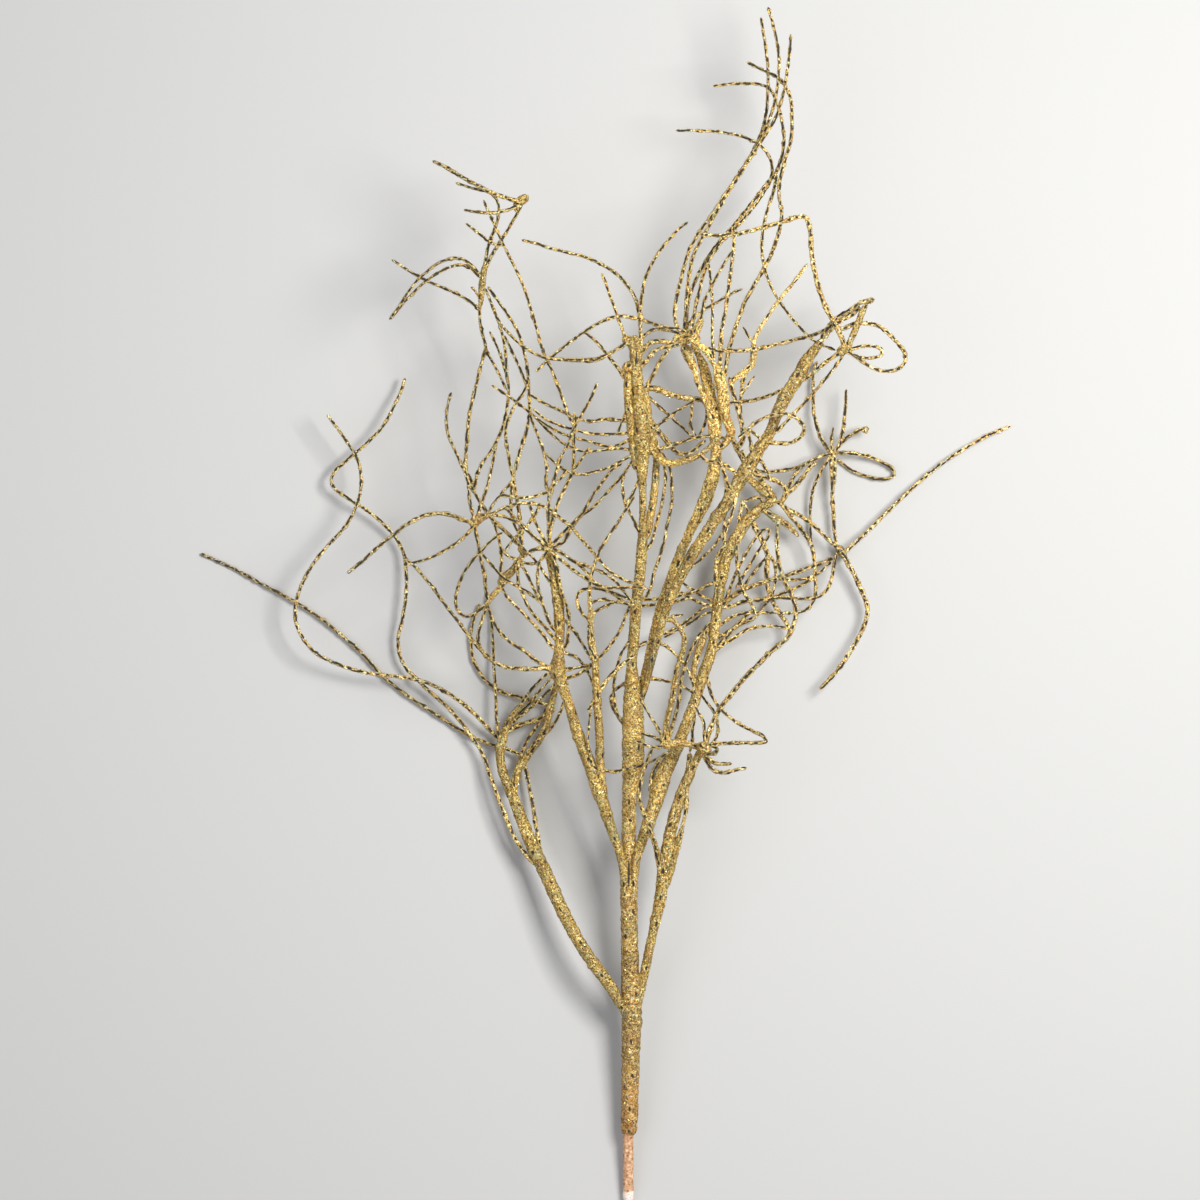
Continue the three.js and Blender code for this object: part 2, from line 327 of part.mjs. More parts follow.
const RIGHT = [
  wrapped([634,892,4], [634.8,878,6], [635.6,863,7.4], [638.8,850,7.8], [642.2,841,8.4], [648.2,824,10.4],
    [654.4,806,11.2], [657.8,794,13], [660.4,784,13.8], [666.4,768,12.2], [675.8,750,10.4], [683,733,9],
    [690,714,8.6], [696,698,8.4], [701,682,8.6], [706,667,9], [711.5,652,8.4], [714,636,8], [716.6,618,9],
    [718.8,598,9], [722.2,578,8.8], [727,558,9.8], [734,541.5,10], [743.4,525,10.2], [753,514,9.6],
    [764,505,7.8], [776,499,8]),
  twig(4.2, [653,804, 651,789, 652,775, 657,764, 665,752]),
  wrapped([717,592,4.2], [716,572,4.4], [719,554,4.8], [727,544,4]),
  twig(4.4, [778,499, 789,509, 799,514, 811,522, 826,536, 838,547, 846,553]),
  twig(4.2, [780,501, 790,514, 804,532, 812,545, 815,562, 816,580, 816,597]),
  wrapped([777,500,7], [768,494,9], [757,484,7], [748,477,5.4], [739,469,4.6]),
  twig(4.8, [782,501, 787,490, 778,481, 768,477, 758,475, 747,469]),
  twig(5, [775,498, 766,485, 757,473, 748,460, 742,449]),
  // star of twigs at the right
  twig(3.8, [787,492, 792,480, 800,468, 812,460, 823,455, 834,453]),
  twig(4.6, [788,494, 798,483, 806,473, 813,464, 818,461]),
  twig(3.8, [808,462, 797,467, 780,470, 764,471, 753,468]),
  twig(3.8, [833,453, 839,446, 843,431, 845.5,412, 847,388]),
  twig(3.6, [832,453, 832,440, 834,426]),
  twig(4, [833,453, 845,439, 856,432, 867,428, 868,433]),
  wrapped([862,430,4], [866,428.5,6.4], [868,431,5]),
  twig(3.8, [834,452, 850,452, 866,455, 880,460, 891,466, 896,472, 892,477, 882,478, 866,475, 850,468,
    838,458]),
  twig(3.8, [832,454, 822,438, 817,424, 814,408, 814,390, 814,372, 818,360]),
  twig(3.4, [831,454, 832,475, 833,494]),
  twig(4.2, [835,454, 835,475, 833,492, 834,512, 835,530, 837,546]),
  twig(3.4, [832,454, 821,471, 814,488, 811,508, 811,528, 812,545]),
  // longest tip, and the drooping one under it
  wrapped([837,545,4.6], [842,551,7.4], [846,558,4.8]),
  twig(4.7, [842,549, 847,560, 855,574, 862,590, 867,602, 868,613, 864,627, 857,641, 848,656, 838,670,
    828,681, 820,689]),
  FAR_RIGHT_TWIG,
  // twigs between the branch and the star's stem
  twig(4, [719,606, 730,606, 745,601, 762,599, 780,597, 800,598, 816,597, 825,592, 831,582, 834,568,
    837,552]),
  twig(4.6, [720,606, 726,602, 735,594, 749,587, 765,581, 786,575, 804,569, 820,563, 834,558]),
  twig(3.4, [776,578, 790,579, 806,578, 820,572, 832,561]),
  twig(3.4, [815,577, 797,587, 780,594, 771,598, 763,608, 757,616]),
  twig(3.6, [716,628, 728,619, 742,613, 760,612, 785,612, 803,611, 811,605, 816,597]),
  twig(4.8, [751,515, 756,528, 763,541, 768,555, 767,570, 768,585, 772,598, 779,611, 787,623, 790,632,
    786,640, 780,643]),
  twig(3.6, [752,518, 747,508, 741,498]),
  wrapped([762,507,4.6], [774,516,6], [783,521,5.6], [792,528,4.6], [799,536,2.8]),
  twig(3.8, [743,501, 740,515, 738,535, 737,555, 739,573, 744.5,592, 752,604, 757,617]),
  twig(3.6, [757,616, 745,622, 733,629, 720,638]),
  twig(3.4, [768,552, 775,563, 776,578, 773,595]),
  twig(3.4, [724,604, 729,592, 734,578, 740,565, 747,552, 754,540, 762,531, 768,527, 770,532, 765,541,
    757,553, 749,566, 742,578, 736,588]),
  twig(3.4, [768,556, 759,566, 749,579, 742,590, 733,598]),
  twig(3.6, [713,641, 725,633, 738,625, 748,613, 757,606]),
  twig(3.8, [710,656, 722,645, 735,637, 748,629, 762,626, 778,626, 789,628]),
  twig(4.4, [711,654, 723,641, 733,629, 742,620, 750,612]),
  twig(3.6, [716,603, 706,606, 692,617, 680,625, 666,632.5, 656,638, 645,643]),
  twig(3, [712,610, 702,615, 690,623, 678,630, 664,637]),
  twig(3.8, [720,580, 707,585, 695,591, 684,594, 668,597, 650,599, 635,601]),
  twig(3.4, [717,602, 705,597, 694,590, 684,583, 674,573]),
  twig(3.6, [716,606, 700,602, 688,596, 678,590, 667,584]),
  twig(3.6, [690,597, 680,600, 668,603, 655,604, 645,605, 636,606]),
  twig(3.8, [725,562, 725,540, 725,520, 725,500, 727,485, 725,472]),
  twig(3.4, [725,530, 714,546, 702,558, 690,568, 680,576, 671,584]),
  twig(3.8, [764,505, 762,498, 752,498, 743,501]),
  wrapped([698,692,4], [694,676,4.8], [696.6,658,5.8], [702.5,641,6.2], [710,624,5.4]),
];

const LOWER_RIGHT = [
  wrapped([637.5,1010,6], [640.5,992,7.2], [643.5,978,7.4], [646.5,965,7.4], [649,951,7.4], [652.5,936,7.2],
    [655.5,921,8], [659,907,9.2], [661.5,892,9.8], [664.5,868,10.4], [668.5,844,10.2], [671.5,828,9.6],
    [675,814,9.8], [680,798,9.4], [684,787,8.6], [688.5,777,9], [694,764,6.8], [700,753,7], [704,746,7.4]),
  wrapped([661,892,4.4], [660,872,4.6], [657,852,4.6], [653,836,4.6], [647,820,4.4], [642,808,4.2],
    [639.5,793,4], [642,776,4], [647,761,3.8], [653,748,3.6]),
  wrapped([665,892,4.4], [669,876,6.4], [673,860,7.4], [676.5,846,7], [680.5,834,5], [683.5,822,3.2],
    [685.8,812,3.4], [686.6,805,4.4], [687,797,3.4], [687,785,3.4], [688,768,3.8], [690,752,3.6]),
  twig(4.2, [703,752, 712,768, 721,772, 733,770, 747,767]),
  twig(4.4, [704,753, 714,762, 732,763]),
  twig(3.8, [703,752, 714,753, 718,748, 712,745, 704,745]),
  twig(3.8, [704,745, 720,743, 740,742, 758,742, 767,740, 764,736, 752,730, 739,723, 728,715, 719,706,
    713,697, 709,686, 707,675]),
  twig(4.7, [705,744, 713,722, 720,708, 731,694, 745,677, 760,662, 772,650, 783,641, 790,633, 794,622,
    796,610, 792,596, 784,580, 779,564, 777,547, 777,530, 779,517]),
  twig(3.4, [711,743, 716,738, 718,726, 715,713, 708,703, 701,694]),
  twig(3.4, [704,743, 704,722, 698,711, 694,702]),
  twig(3.2, [694,748, 692,735, 694,725, 696,714]),
  wrapped([698,744,5.4], [704,747,9.6], [711,750,5.4]),
  // hub to the left of the branch's end
  wrapped([702,748,5.4], [684,742,5.4], [673,743,7], [667,743,9], [661,744,5]),
  twig(3.8, [667,744, 655,747, 644,743, 635,740]),
  twig(3.6, [665,740, 653,736, 644,733, 635,731]),
  twig(3.4, [664,740, 659,729, 652,718, 646,708, 640,697]),
  twig(5.2, [666,742, 667,722, 672,700, 675,682, 677,668, 681,656, 684,645, 684,636, 680,628, 673,620,
    665,619]),
  twig(3.8, [668,742, 674,720, 678,705, 680,690, 683,672, 688,657, 694,644, 702,631, 712,620]),
];

// Each branch: its routes, the slope of its own plane, the range that its twigs turn out of that
// plane, and how far its root stands off the middle of the stem. Above 0 rises to the front.
const BRANCHES = [
  { name: 'main_stem', routes: MAIN_STEM.slice(1), slope: 0.03, turn: [-0.3, 0.3], grown: true },
  { name: 'lower_left_branch', routes: LOWER_LEFT, slope: -0.22, turn: [-0.05, 0.3], rootOffset: 3 },
  { name: 'upper_left_branch', routes: UPPER_LEFT, slope: 0.14, turn: [-0.3, 0.3], rootOffset: 5.5 },
  { name: 'crown_branch', routes: CROWN, slope: -0.06, turn: [-0.2, 0.3], rootOffset: -3.2 },
  { name: 'upper_right_branch', routes: UPPER_RIGHT, slope: 0.24, turn: [-0.3, 0.3], rootOffset: 3.2 },
  { name: 'right_branch', routes: RIGHT, slope: -0.2, turn: [-0.1, 0.3], rootOffset: 5.5 },
  { name: 'lower_right_branch', routes: LOWER_RIGHT, slope: 0.3, turn: [-0.3, 0.3] },
];

// ---- From the sheet to space ---------------------------------------------------------------
// A small repeatable draw between 0 and 1.
let seed = 4711;
function draw() {
  seed = (seed * 16807) % 2147483647;
  return seed / 2147483647;
}

// One route becomes evenly spaced points, with the thickness and the length so far at each.
function placeRoute(stations) {
  const places = stations.map(([column, row, thickness]) => new THREE.Vector3(
    (column - SHEET_COLUMN) * SHEET_STEP, (SHEET_ROW - row) * SHEET_STEP, thickness));
  const curve = new THREE.CatmullRomCurve3(places, false, 'centripetal');
  const length = curve.getLength();
  const pieces = Math.max(3, Math.round(length / POINT_STEP));
  const points = curve.getSpacedPoints(pieces);
  return {
    x: points.map((p) => p.x),
    y: points.map((p) => p.y),
    radius: points.map((p) => p.z / 2),
    along: points.map((_, i) => length * i / pieces),
    length,
  };
}

// The place on some routes that lies nearest to a point of the sheet.
function nearest(routes, x, y) {
  let best = { distance: Infinity };
  for (const route of routes) {
    for (let piece = 0; piece + 1 < route.x.length; piece++) {
      const dx = route.x[piece + 1] - route.x[piece];
      const dy = route.y[piece + 1] - route.y[piece];
      const run = (x - route.x[piece]) * dx + (y - route.y[piece]) * dy;
      const share = THREE.MathUtils.clamp(run / (dx * dx + dy * dy), 0, 1);
      const offX = route.x[piece] + share * dx - x;
      const offY = route.y[piece] + share * dy - y;
      const distance = Math.hypot(offX, offY);
      if (distance < best.distance) best = { distance, route, piece, share };
    }
  }
  return best;
}

const at = (values, place) => (
  THREE.MathUtils.lerp(values[place.piece], values[place.piece + 1], place.share));

// Height of a twig at a length along it: a slope that dies out, and waves that set in slowly.
function twigHeight(s, slope, wave, waveLength, phase) {
  const curl = Math.sin(2 * Math.PI * s / waveLength + phase) - Math.sin(phase);
  return slope * REACH * Math.tanh(s / REACH) + wave * curl * Math.min(1, s / CURL_START);
}

// Height of a branch's first route, which runs along the stem before its own slope sets in.
function branchHeight(s, slope) {
  const beyond = Math.max(0, s - ALONG_STEM);
  return STEM_RISE * Math.min(s, ALONG_STEM) + slope * REACH * Math.tanh(beyond / REACH);
}

// Places a branch. Its first route grows from the stem, and each later one from the nearest
// earlier route of the branch, in whose middle its root is sunk.
function placeBranch(branch, stem) {
  const routes = [];
  for (const stations of branch.routes) {
    const route = placeRoute(stations);
    const first = routes.length === 0 && !branch.grown;
    const turn = THREE.MathUtils.lerp(branch.turn[0], branch.turn[1], draw());
    const wave = CURL_HEIGHT * Math.min(1, route.length / CURL_FULL);
    const waveLength = THREE.MathUtils.lerp(CURL_LENGTH[0], CURL_LENGTH[1], draw());
    const phase = 2 * Math.PI * draw();
    route.branch = branch.name;
    route.resting = RESTING.includes(stations);
    const holders = first || branch.grown ? [stem, ...routes] : routes;
    route.hold = nearest(holders, route.x[0], route.y[0]);
    route.lift = first ? branch.rootOffset ?? 0 : 0;
    if (!first) {
      route.x[0] = at(route.hold.route.x, route.hold);
      route.y[0] = at(route.hold.route.y, route.hold);
    }
    const root = at(route.hold.route.z, route.hold) + route.lift;
    route.z = route.along.map((s) => root + (first
      ? branchHeight(s, branch.slope)
      : twigHeight(s, branch.slope + turn, wave, waveLength, phase)));
    routes.push(route);
  }
  return routes;
}

// ---- Bending clear -------------------------------------------------------------------------
// Where the routes of two branches cross or run close, as [place, place, height to keep].
function crossings(one, two) {
  const found = [];
  const test = (p, q) => {
    const dx = at(one.x, p) - at(two.x, q);
    const dy = at(one.y, p) - at(two.y, q);
    const keep = at(one.radius, p) + at(two.radius, q) + CLEARANCE;
    const flat = Math.hypot(dx, dy);
    if (flat < keep) found.push([p, q, Math.sqrt(keep * keep - flat * flat)]);
  };
  for (let i = 0; i + 1 < one.x.length; i++) {
    for (let j = 0; j + 1 < two.x.length; j++) {
      const offset = Math.max(Math.abs(one.x[i] - two.x[j]), Math.abs(one.y[i] - two.y[j]));
      if (offset > WINDOW) continue;
      const ax = one.x[i + 1] - one.x[i];
      const ay = one.y[i + 1] - one.y[i];
      const bx = two.x[j + 1] - two.x[j];
      const by = two.y[j + 1] - two.y[j];
      const cx = two.x[j] - one.x[i];
      const cy = two.y[j] - one.y[i];
      const cross = ax * by - ay * bx;
      const u = (cx * by - cy * bx) / cross;
      const v = (cx * ay - cy * ax) / cross;
      if (u >= 0 && u <= 1 && v >= 0 && v <= 1) {
        test({ piece: i, share: u }, { piece: j, share: v });
      }
      const run = THREE.MathUtils.clamp(-(cx * bx + cy * by) / (bx * bx + by * by), 0, 1);
      test({ piece: i, share: 0 }, { piece: j, share: run });
      const back = THREE.MathUtils.clamp((cx * ax + cy * ay) / (ax * ax + ay * ay), 0, 1);
      test({ piece: i, share: back }, { piece: j, share: 0 });
    }
  }
  return found;
}

// How freely a route moves at a place: not at its root, fully a little way out.
const freedom = (route, s) => Math.min(1, s / ROOT_FADE);

// Lifts a route round a place. What its root can't take moves the route that it grows from.
function lift(route, place, amount) {
  if (route.fixed) return;
  const s = at(route.along, place);
  for (let k = 1; k < route.z.length; k++) {
    const share = 1 - Math.abs(route.along[k] - s) / BEND_REACH;
    if (share > 0) route.z[k] += amount * share * freedom(route, route.along[k]);
  }
  const rest = 1 - freedom(route, s);
  if (rest > 0 && !route.hold.route.fixed) lift(route.hold.route, route.hold, amount * rest);
}

// Moves the routes' roots back to where they grow, and draws the rest of each along.
function seatRoots(routes) {
  for (const route of routes) {
    if (route.fixed) continue;
    const off = at(route.hold.route.z, route.hold) + route.lift - route.z[0];
    route.z = route.z.map((z, k) => z + off * Math.exp(-route.along[k] / ROOT_DRAW));
  }
}

function smooth(route) {
  if (route.fixed) return;
  const z = route.z;
  route.z = z.map((value, k) => (
    k === 0 || k === z.length - 1 ? value : (z[k - 1] + 2 * value + z[k + 1]) / 4));
}

// Each pair of routes of two branches that cross keeps one of them in front all along.
function findPairs(routes) {
  const pairs = [];
  for (const [i, one] of routes.entries()) {
    for (const two of routes.slice(i + 1)) {
      if (one.branch === two.branch) continue;
      const rooted = two.hold?.route === one;
      const places = crossings(one, two).filter(([, q]) => (
        !rooted || at(two.along, q) > SOCKET_LENGTH));
      if (places.length === 0) continue;
      const sum = places.reduce((total, [p, q]) => total + at(one.z, p) - at(two.z, q), 0);
      pairs.push({ one, two, places, side: sum < 0 ? -1 : 1 });
    }
  }
  return pairs;
}

const isWrapped = (route) => Math.max(...route.radius) > BRANCH_THICKNESS / 2;

// How readily a route gives way.
function weight(route) {
  if (route.fixed) return 0;
  return isWrapped(route) ? BRANCH_GIVE : 1;
}

function clearPairs(pairs) {
  for (const { one, two, places, side } of pairs) {
    const share = weight(one) / (weight(one) + weight(two));
    for (const [p, q, keep] of places) {
      const short = keep - side * (at(one.z, p) - at(two.z, q));
      if (short <= 0) continue;
      lift(one, p, side * short * share);
      lift(two, q, -side * short * (1 - share));
    }
  }
}

// Nothing but the resting tips comes near the surface.
function clearSurface(routes) {
  for (const route of routes) {
    if (route.fixed) continue;
    for (let k = 1; k < route.z.length; k++) {
      const tip = route.resting && route.along[k] > route.length - TIP_REACH;
      const floor = route.radius[k] + (tip ? 0 : SURFACE_CLEARANCE);
      if (route.z[k] < floor) route.z[k] = floor;
    }
  }
}

// Tilts everything, heights only, so that the resting tips lie on the surface with the foot.
function settle(routes) {
  const foot = new THREE.Vector2(stem.x[0], stem.y[0] - CORE_OUT);
  const [a, b] = routes.filter((route) => route.resting).map((route) => ({
    x: route.x.at(-1) - foot.x,
    y: route.y.at(-1) - foot.y,
    drop: route.z.at(-1) - route.radius.at(-1),
  }));
  const area = a.x * b.y - a.y * b.x;
  const alongX = (a.drop * b.y - b.drop * a.y) / area;
  const alongY = (b.drop * a.x - a.drop * b.x) / area;
  for (const route of routes) {
    route.z = route.z.map((z, k) => (
      z - alongX * (route.x[k] - foot.x) - alongY * (route.y[k] - foot.y)));
  }
}

// ---- Solids --------------------------------------------------------------------------------
// Leaves out the points that a straight run between their neighbours stands in for.
function thin(points, tolerance) {
  let far = 0;
  let where = 0;
  const [first, last] = [points[0], points.at(-1)];
  const span = last.clone().sub(first);
  for (let k = 1; k < points.length - 1; k++) {
    const share = points[k].clone().sub(first).dot(span) / span.lengthSq();
    const foot = first.clone().addScaledVector(span, THREE.MathUtils.clamp(share, 0, 1));
    const distance = foot.sub(points[k]).length();
    if (distance > far) {
      far = distance;
      where = k;
    }
  }
  if (far < tolerance) return [first, last];
  const head = thin(points.slice(0, where + 1), tolerance);
  const tail = thin(points.slice(where), tolerance);
  return [...head.slice(0, -1), ...tail];
}

// A tube with few sides is this much larger round its corners, so that it fills a round one better.
const cornerScale = (sides) => 1 + 2.2 / (sides * sides);

// A closed tube through points whose w is the radius, with an edge of it on top. It can be grown
// all round, to cut the hole that it stands in.
function tube(points, sides, grow = 0) {
  const positions = [];
  const index = [];
  const end = points.length - 1;
  const centre = (k) => new THREE.Vector3(points[k].x, points[k].y, points[k].z);
  for (let k = 0; k <= end; k++) {
    const along = centre(Math.min(k + 1, end)).sub(centre(Math.max(k - 1, 0))).normalize();
    const side = along.clone().cross(new THREE.Vector3(0, 0, 1)).normalize();
    const up = side.clone().cross(along);
    const outward = grow * ((k === end) - (k === 0));
    const middle = centre(k).addScaledVector(along, outward);
    const corner = points[k].w * cornerScale(sides) + grow / Math.cos(Math.PI / sides);
    for (let n = 0; n < sides; n++) {
      const angle = Math.PI / 2 + 2 * Math.PI * n / sides;
      const p = middle.clone().addScaledVector(side, corner * Math.cos(angle));
      p.addScaledVector(up, corner * Math.sin(angle));
      positions.push(p.x, p.y, p.z);
      if (k === 0) continue;
      const [a, b] = [(k - 1) * sides + n, (k - 1) * sides + (n + 1) % sides];
      index.push(a, b + sides, b, a, a + sides, b + sides);
    }
  }
  const last = end * sides;
  for (let n = 1; n + 1 < sides; n++) {
    index.push(0, n, n + 1, last, last + n + 1, last + n);
  }
  return new wasm.Manifold(new wasm.Mesh({
    numProp: 3,
    vertProperties: new Float32Array(positions),
    triVerts: new Uint32Array(index),
  }));
}

function routeTube(route, grow = 0) {
  const points = route.x.map((x, k) => new THREE.Vector4(x, route.y[k], route.z[k], route.radius[k]));
  return tube(thin(points, THINNING), isWrapped(route) ? BRANCH_SIDES : TWIG_SIDES, grow);
}

// The largest body of a solid. Loose scraps are left out, and sealed hollows filled.
function biggest(solid) {
  return solid.decompose().reduce((best, body) => (body.volume() > best.volume() ? body : best));
}

function toMesh(name, solid, material) {
  const { vertProperties, triVerts } = solid.getMesh();
  const geometry = new THREE.BufferGeometry();
  geometry.setAttribute('position', new THREE.BufferAttribute(vertProperties, 3));
  geometry.setIndex(new THREE.BufferAttribute(triVerts, 1));
  const mesh = new THREE.Mesh(geometry, material);
  mesh.name = name;
  return mesh;
}

// ---- The part ------------------------------------------------------------------------------
const stem = placeRoute(MAIN_STEM[0]);
stem.z = stem.along.map((s) => FOOT_HEIGHT + STEM_RISE * (s + CORE_OUT));
stem.fixed = true;
stem.branch = 'main_stem';

const placed = BRANCHES.map((branch) => placeBranch(branch, stem));
const routes = [stem, ...placed.flat()];

settle(routes);
const pairs = findPairs(routes);
for (let round = 0; round < ROUNDS; round++) {
  clearPairs(pairs);
  clearSurface(routes);
  seatRoots(routes);
  if (round % SMOOTH_EVERY === 0 && round < SMOOTH_UNTIL) routes.forEach(smooth);
}
settle(routes);

// The bare end of the stem, and the hole for it in the sheath.
function coreTube(grow = 0) {
  const inner = { piece: Math.floor(CORE_DEPTH / POINT_STEP), share: 0 };
  const foot = new THREE.Vector4(stem.x[0], stem.y[0] - CORE_OUT, FOOT_HEIGHT, CORE_THICKNESS / 2);
  const head = new THREE.Vector4(at(stem.x, inner), at(stem.y, inner), at(stem.z, inner), foot.w);
  return tube([foot, head], CORE_SIDES, grow);
}

// The stem with its own twigs, and a socket in it for the core and for each branch.
function mainStem([twigs, ...branches]) {
  const whole = wasm.Manifold.union([routeTube(stem), ...twigs.map((route) => routeTube(route))]);
  const cuts = branches.map((branch) => routeTube(branch[0], GAP));
  return biggest(whole.subtract(wasm.Manifold.union([coreTube(GAP), ...cuts])));
}

const glitter = new THREE.MeshStandardMaterial({ name: 'gold_glitter', color: 0xa8833f, roughness: 0.45,
  metalness: 0.5 });
const sheath = new THREE.MeshStandardMaterial({ name: 'sheath_glitter', color: 0xb08a4a, roughness: 0.5,
  metalness: 0.45 });
const tape = new THREE.MeshStandardMaterial({ name: 'stem_tape', color: 0xc9a284, roughness: 0.75 });

const group = new THREE.Group();
group.add(toMesh('stem_core', coreTube(), tape));
group.add(toMesh('main_stem', mainStem(placed), sheath));
for (const branch of placed.slice(1)) {
  const solid = biggest(wasm.Manifold.union(branch.map((route) => routeTube(route))));
  group.add(toMesh(branch[0].branch, solid, glitter));
}

// The part's box stands on z = 0 with the middle of its base at the origin.
const box = new THREE.Box3().setFromObject(group);
const middle = box.getCenter(new THREE.Vector3());
for (const mesh of group.children) mesh.geometry.translate(-middle.x, -middle.y, -box.min.z);

export default group;
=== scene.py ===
from types import SimpleNamespace

import bpy
import numpy as np
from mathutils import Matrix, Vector


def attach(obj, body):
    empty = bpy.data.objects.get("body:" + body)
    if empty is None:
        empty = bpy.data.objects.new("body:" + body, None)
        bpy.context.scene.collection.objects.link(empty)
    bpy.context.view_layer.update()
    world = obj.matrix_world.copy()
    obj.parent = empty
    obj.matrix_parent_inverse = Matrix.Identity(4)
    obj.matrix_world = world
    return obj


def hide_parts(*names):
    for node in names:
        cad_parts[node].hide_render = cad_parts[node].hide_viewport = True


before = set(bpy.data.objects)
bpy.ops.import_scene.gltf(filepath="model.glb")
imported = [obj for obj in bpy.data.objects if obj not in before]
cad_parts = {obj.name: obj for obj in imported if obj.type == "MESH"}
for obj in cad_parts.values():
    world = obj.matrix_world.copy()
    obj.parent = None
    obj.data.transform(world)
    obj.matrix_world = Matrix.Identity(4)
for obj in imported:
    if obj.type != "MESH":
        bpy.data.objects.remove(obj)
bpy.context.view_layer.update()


# ---- The wires -----------------------------------------------------------------------------------
# Every strand of the spray is a bent wire inside its wrapping. They are laid out on a sheet first,
# each from where it grows to its end, and then bent in height so that no two branches touch.
MM = 0.001
SHEET_STEP = 0.765 * MM          # one column or row of the sheet
SHEET_COLUMN = 606               # column that lies on x = 0
SHEET_ROW = 603.5                # row that lies on y = 0
TIP_TAPER = 0.8                  # thickness of a twig's end, as a share of its root


def wrapped(*stations):
    """A wrapped strand: column, row and thickness in millimetres at each station."""
    return [(column, row, thickness * MM) for column, row, thickness in stations]


def twig(thickness, places):
    """A bare twig of one thickness, which tapers evenly to its end. places holds columns and rows."""
    columns, rows = places[0::2], places[1::2]
    taper = np.linspace(1, TIP_TAPER, len(columns))
    return [(c, r, thickness * MM * t) for c, r, t in zip(columns, rows, taper)]


# The two outer twigs whose ends touch the surface.
FAR_LEFT_TWIG = twig(3.9, [543,860, 539,843, 536,824, 533,805, 530,789, 526.5,772, 522,758,
    511,750, 496,746, 480,740, 462,731, 445,720, 425,707, 400,690, 380,673, 362,653, 345,638,
    322,619, 296,602, 270,588, 248,576, 225,564, 200,553])
FAR_RIGHT_TWIG = twig(3.9, [845,552, 858,540, 872,527, 888,511, 906,494, 925,477, 945,461,
    965,448, 988,435, 1012,425])

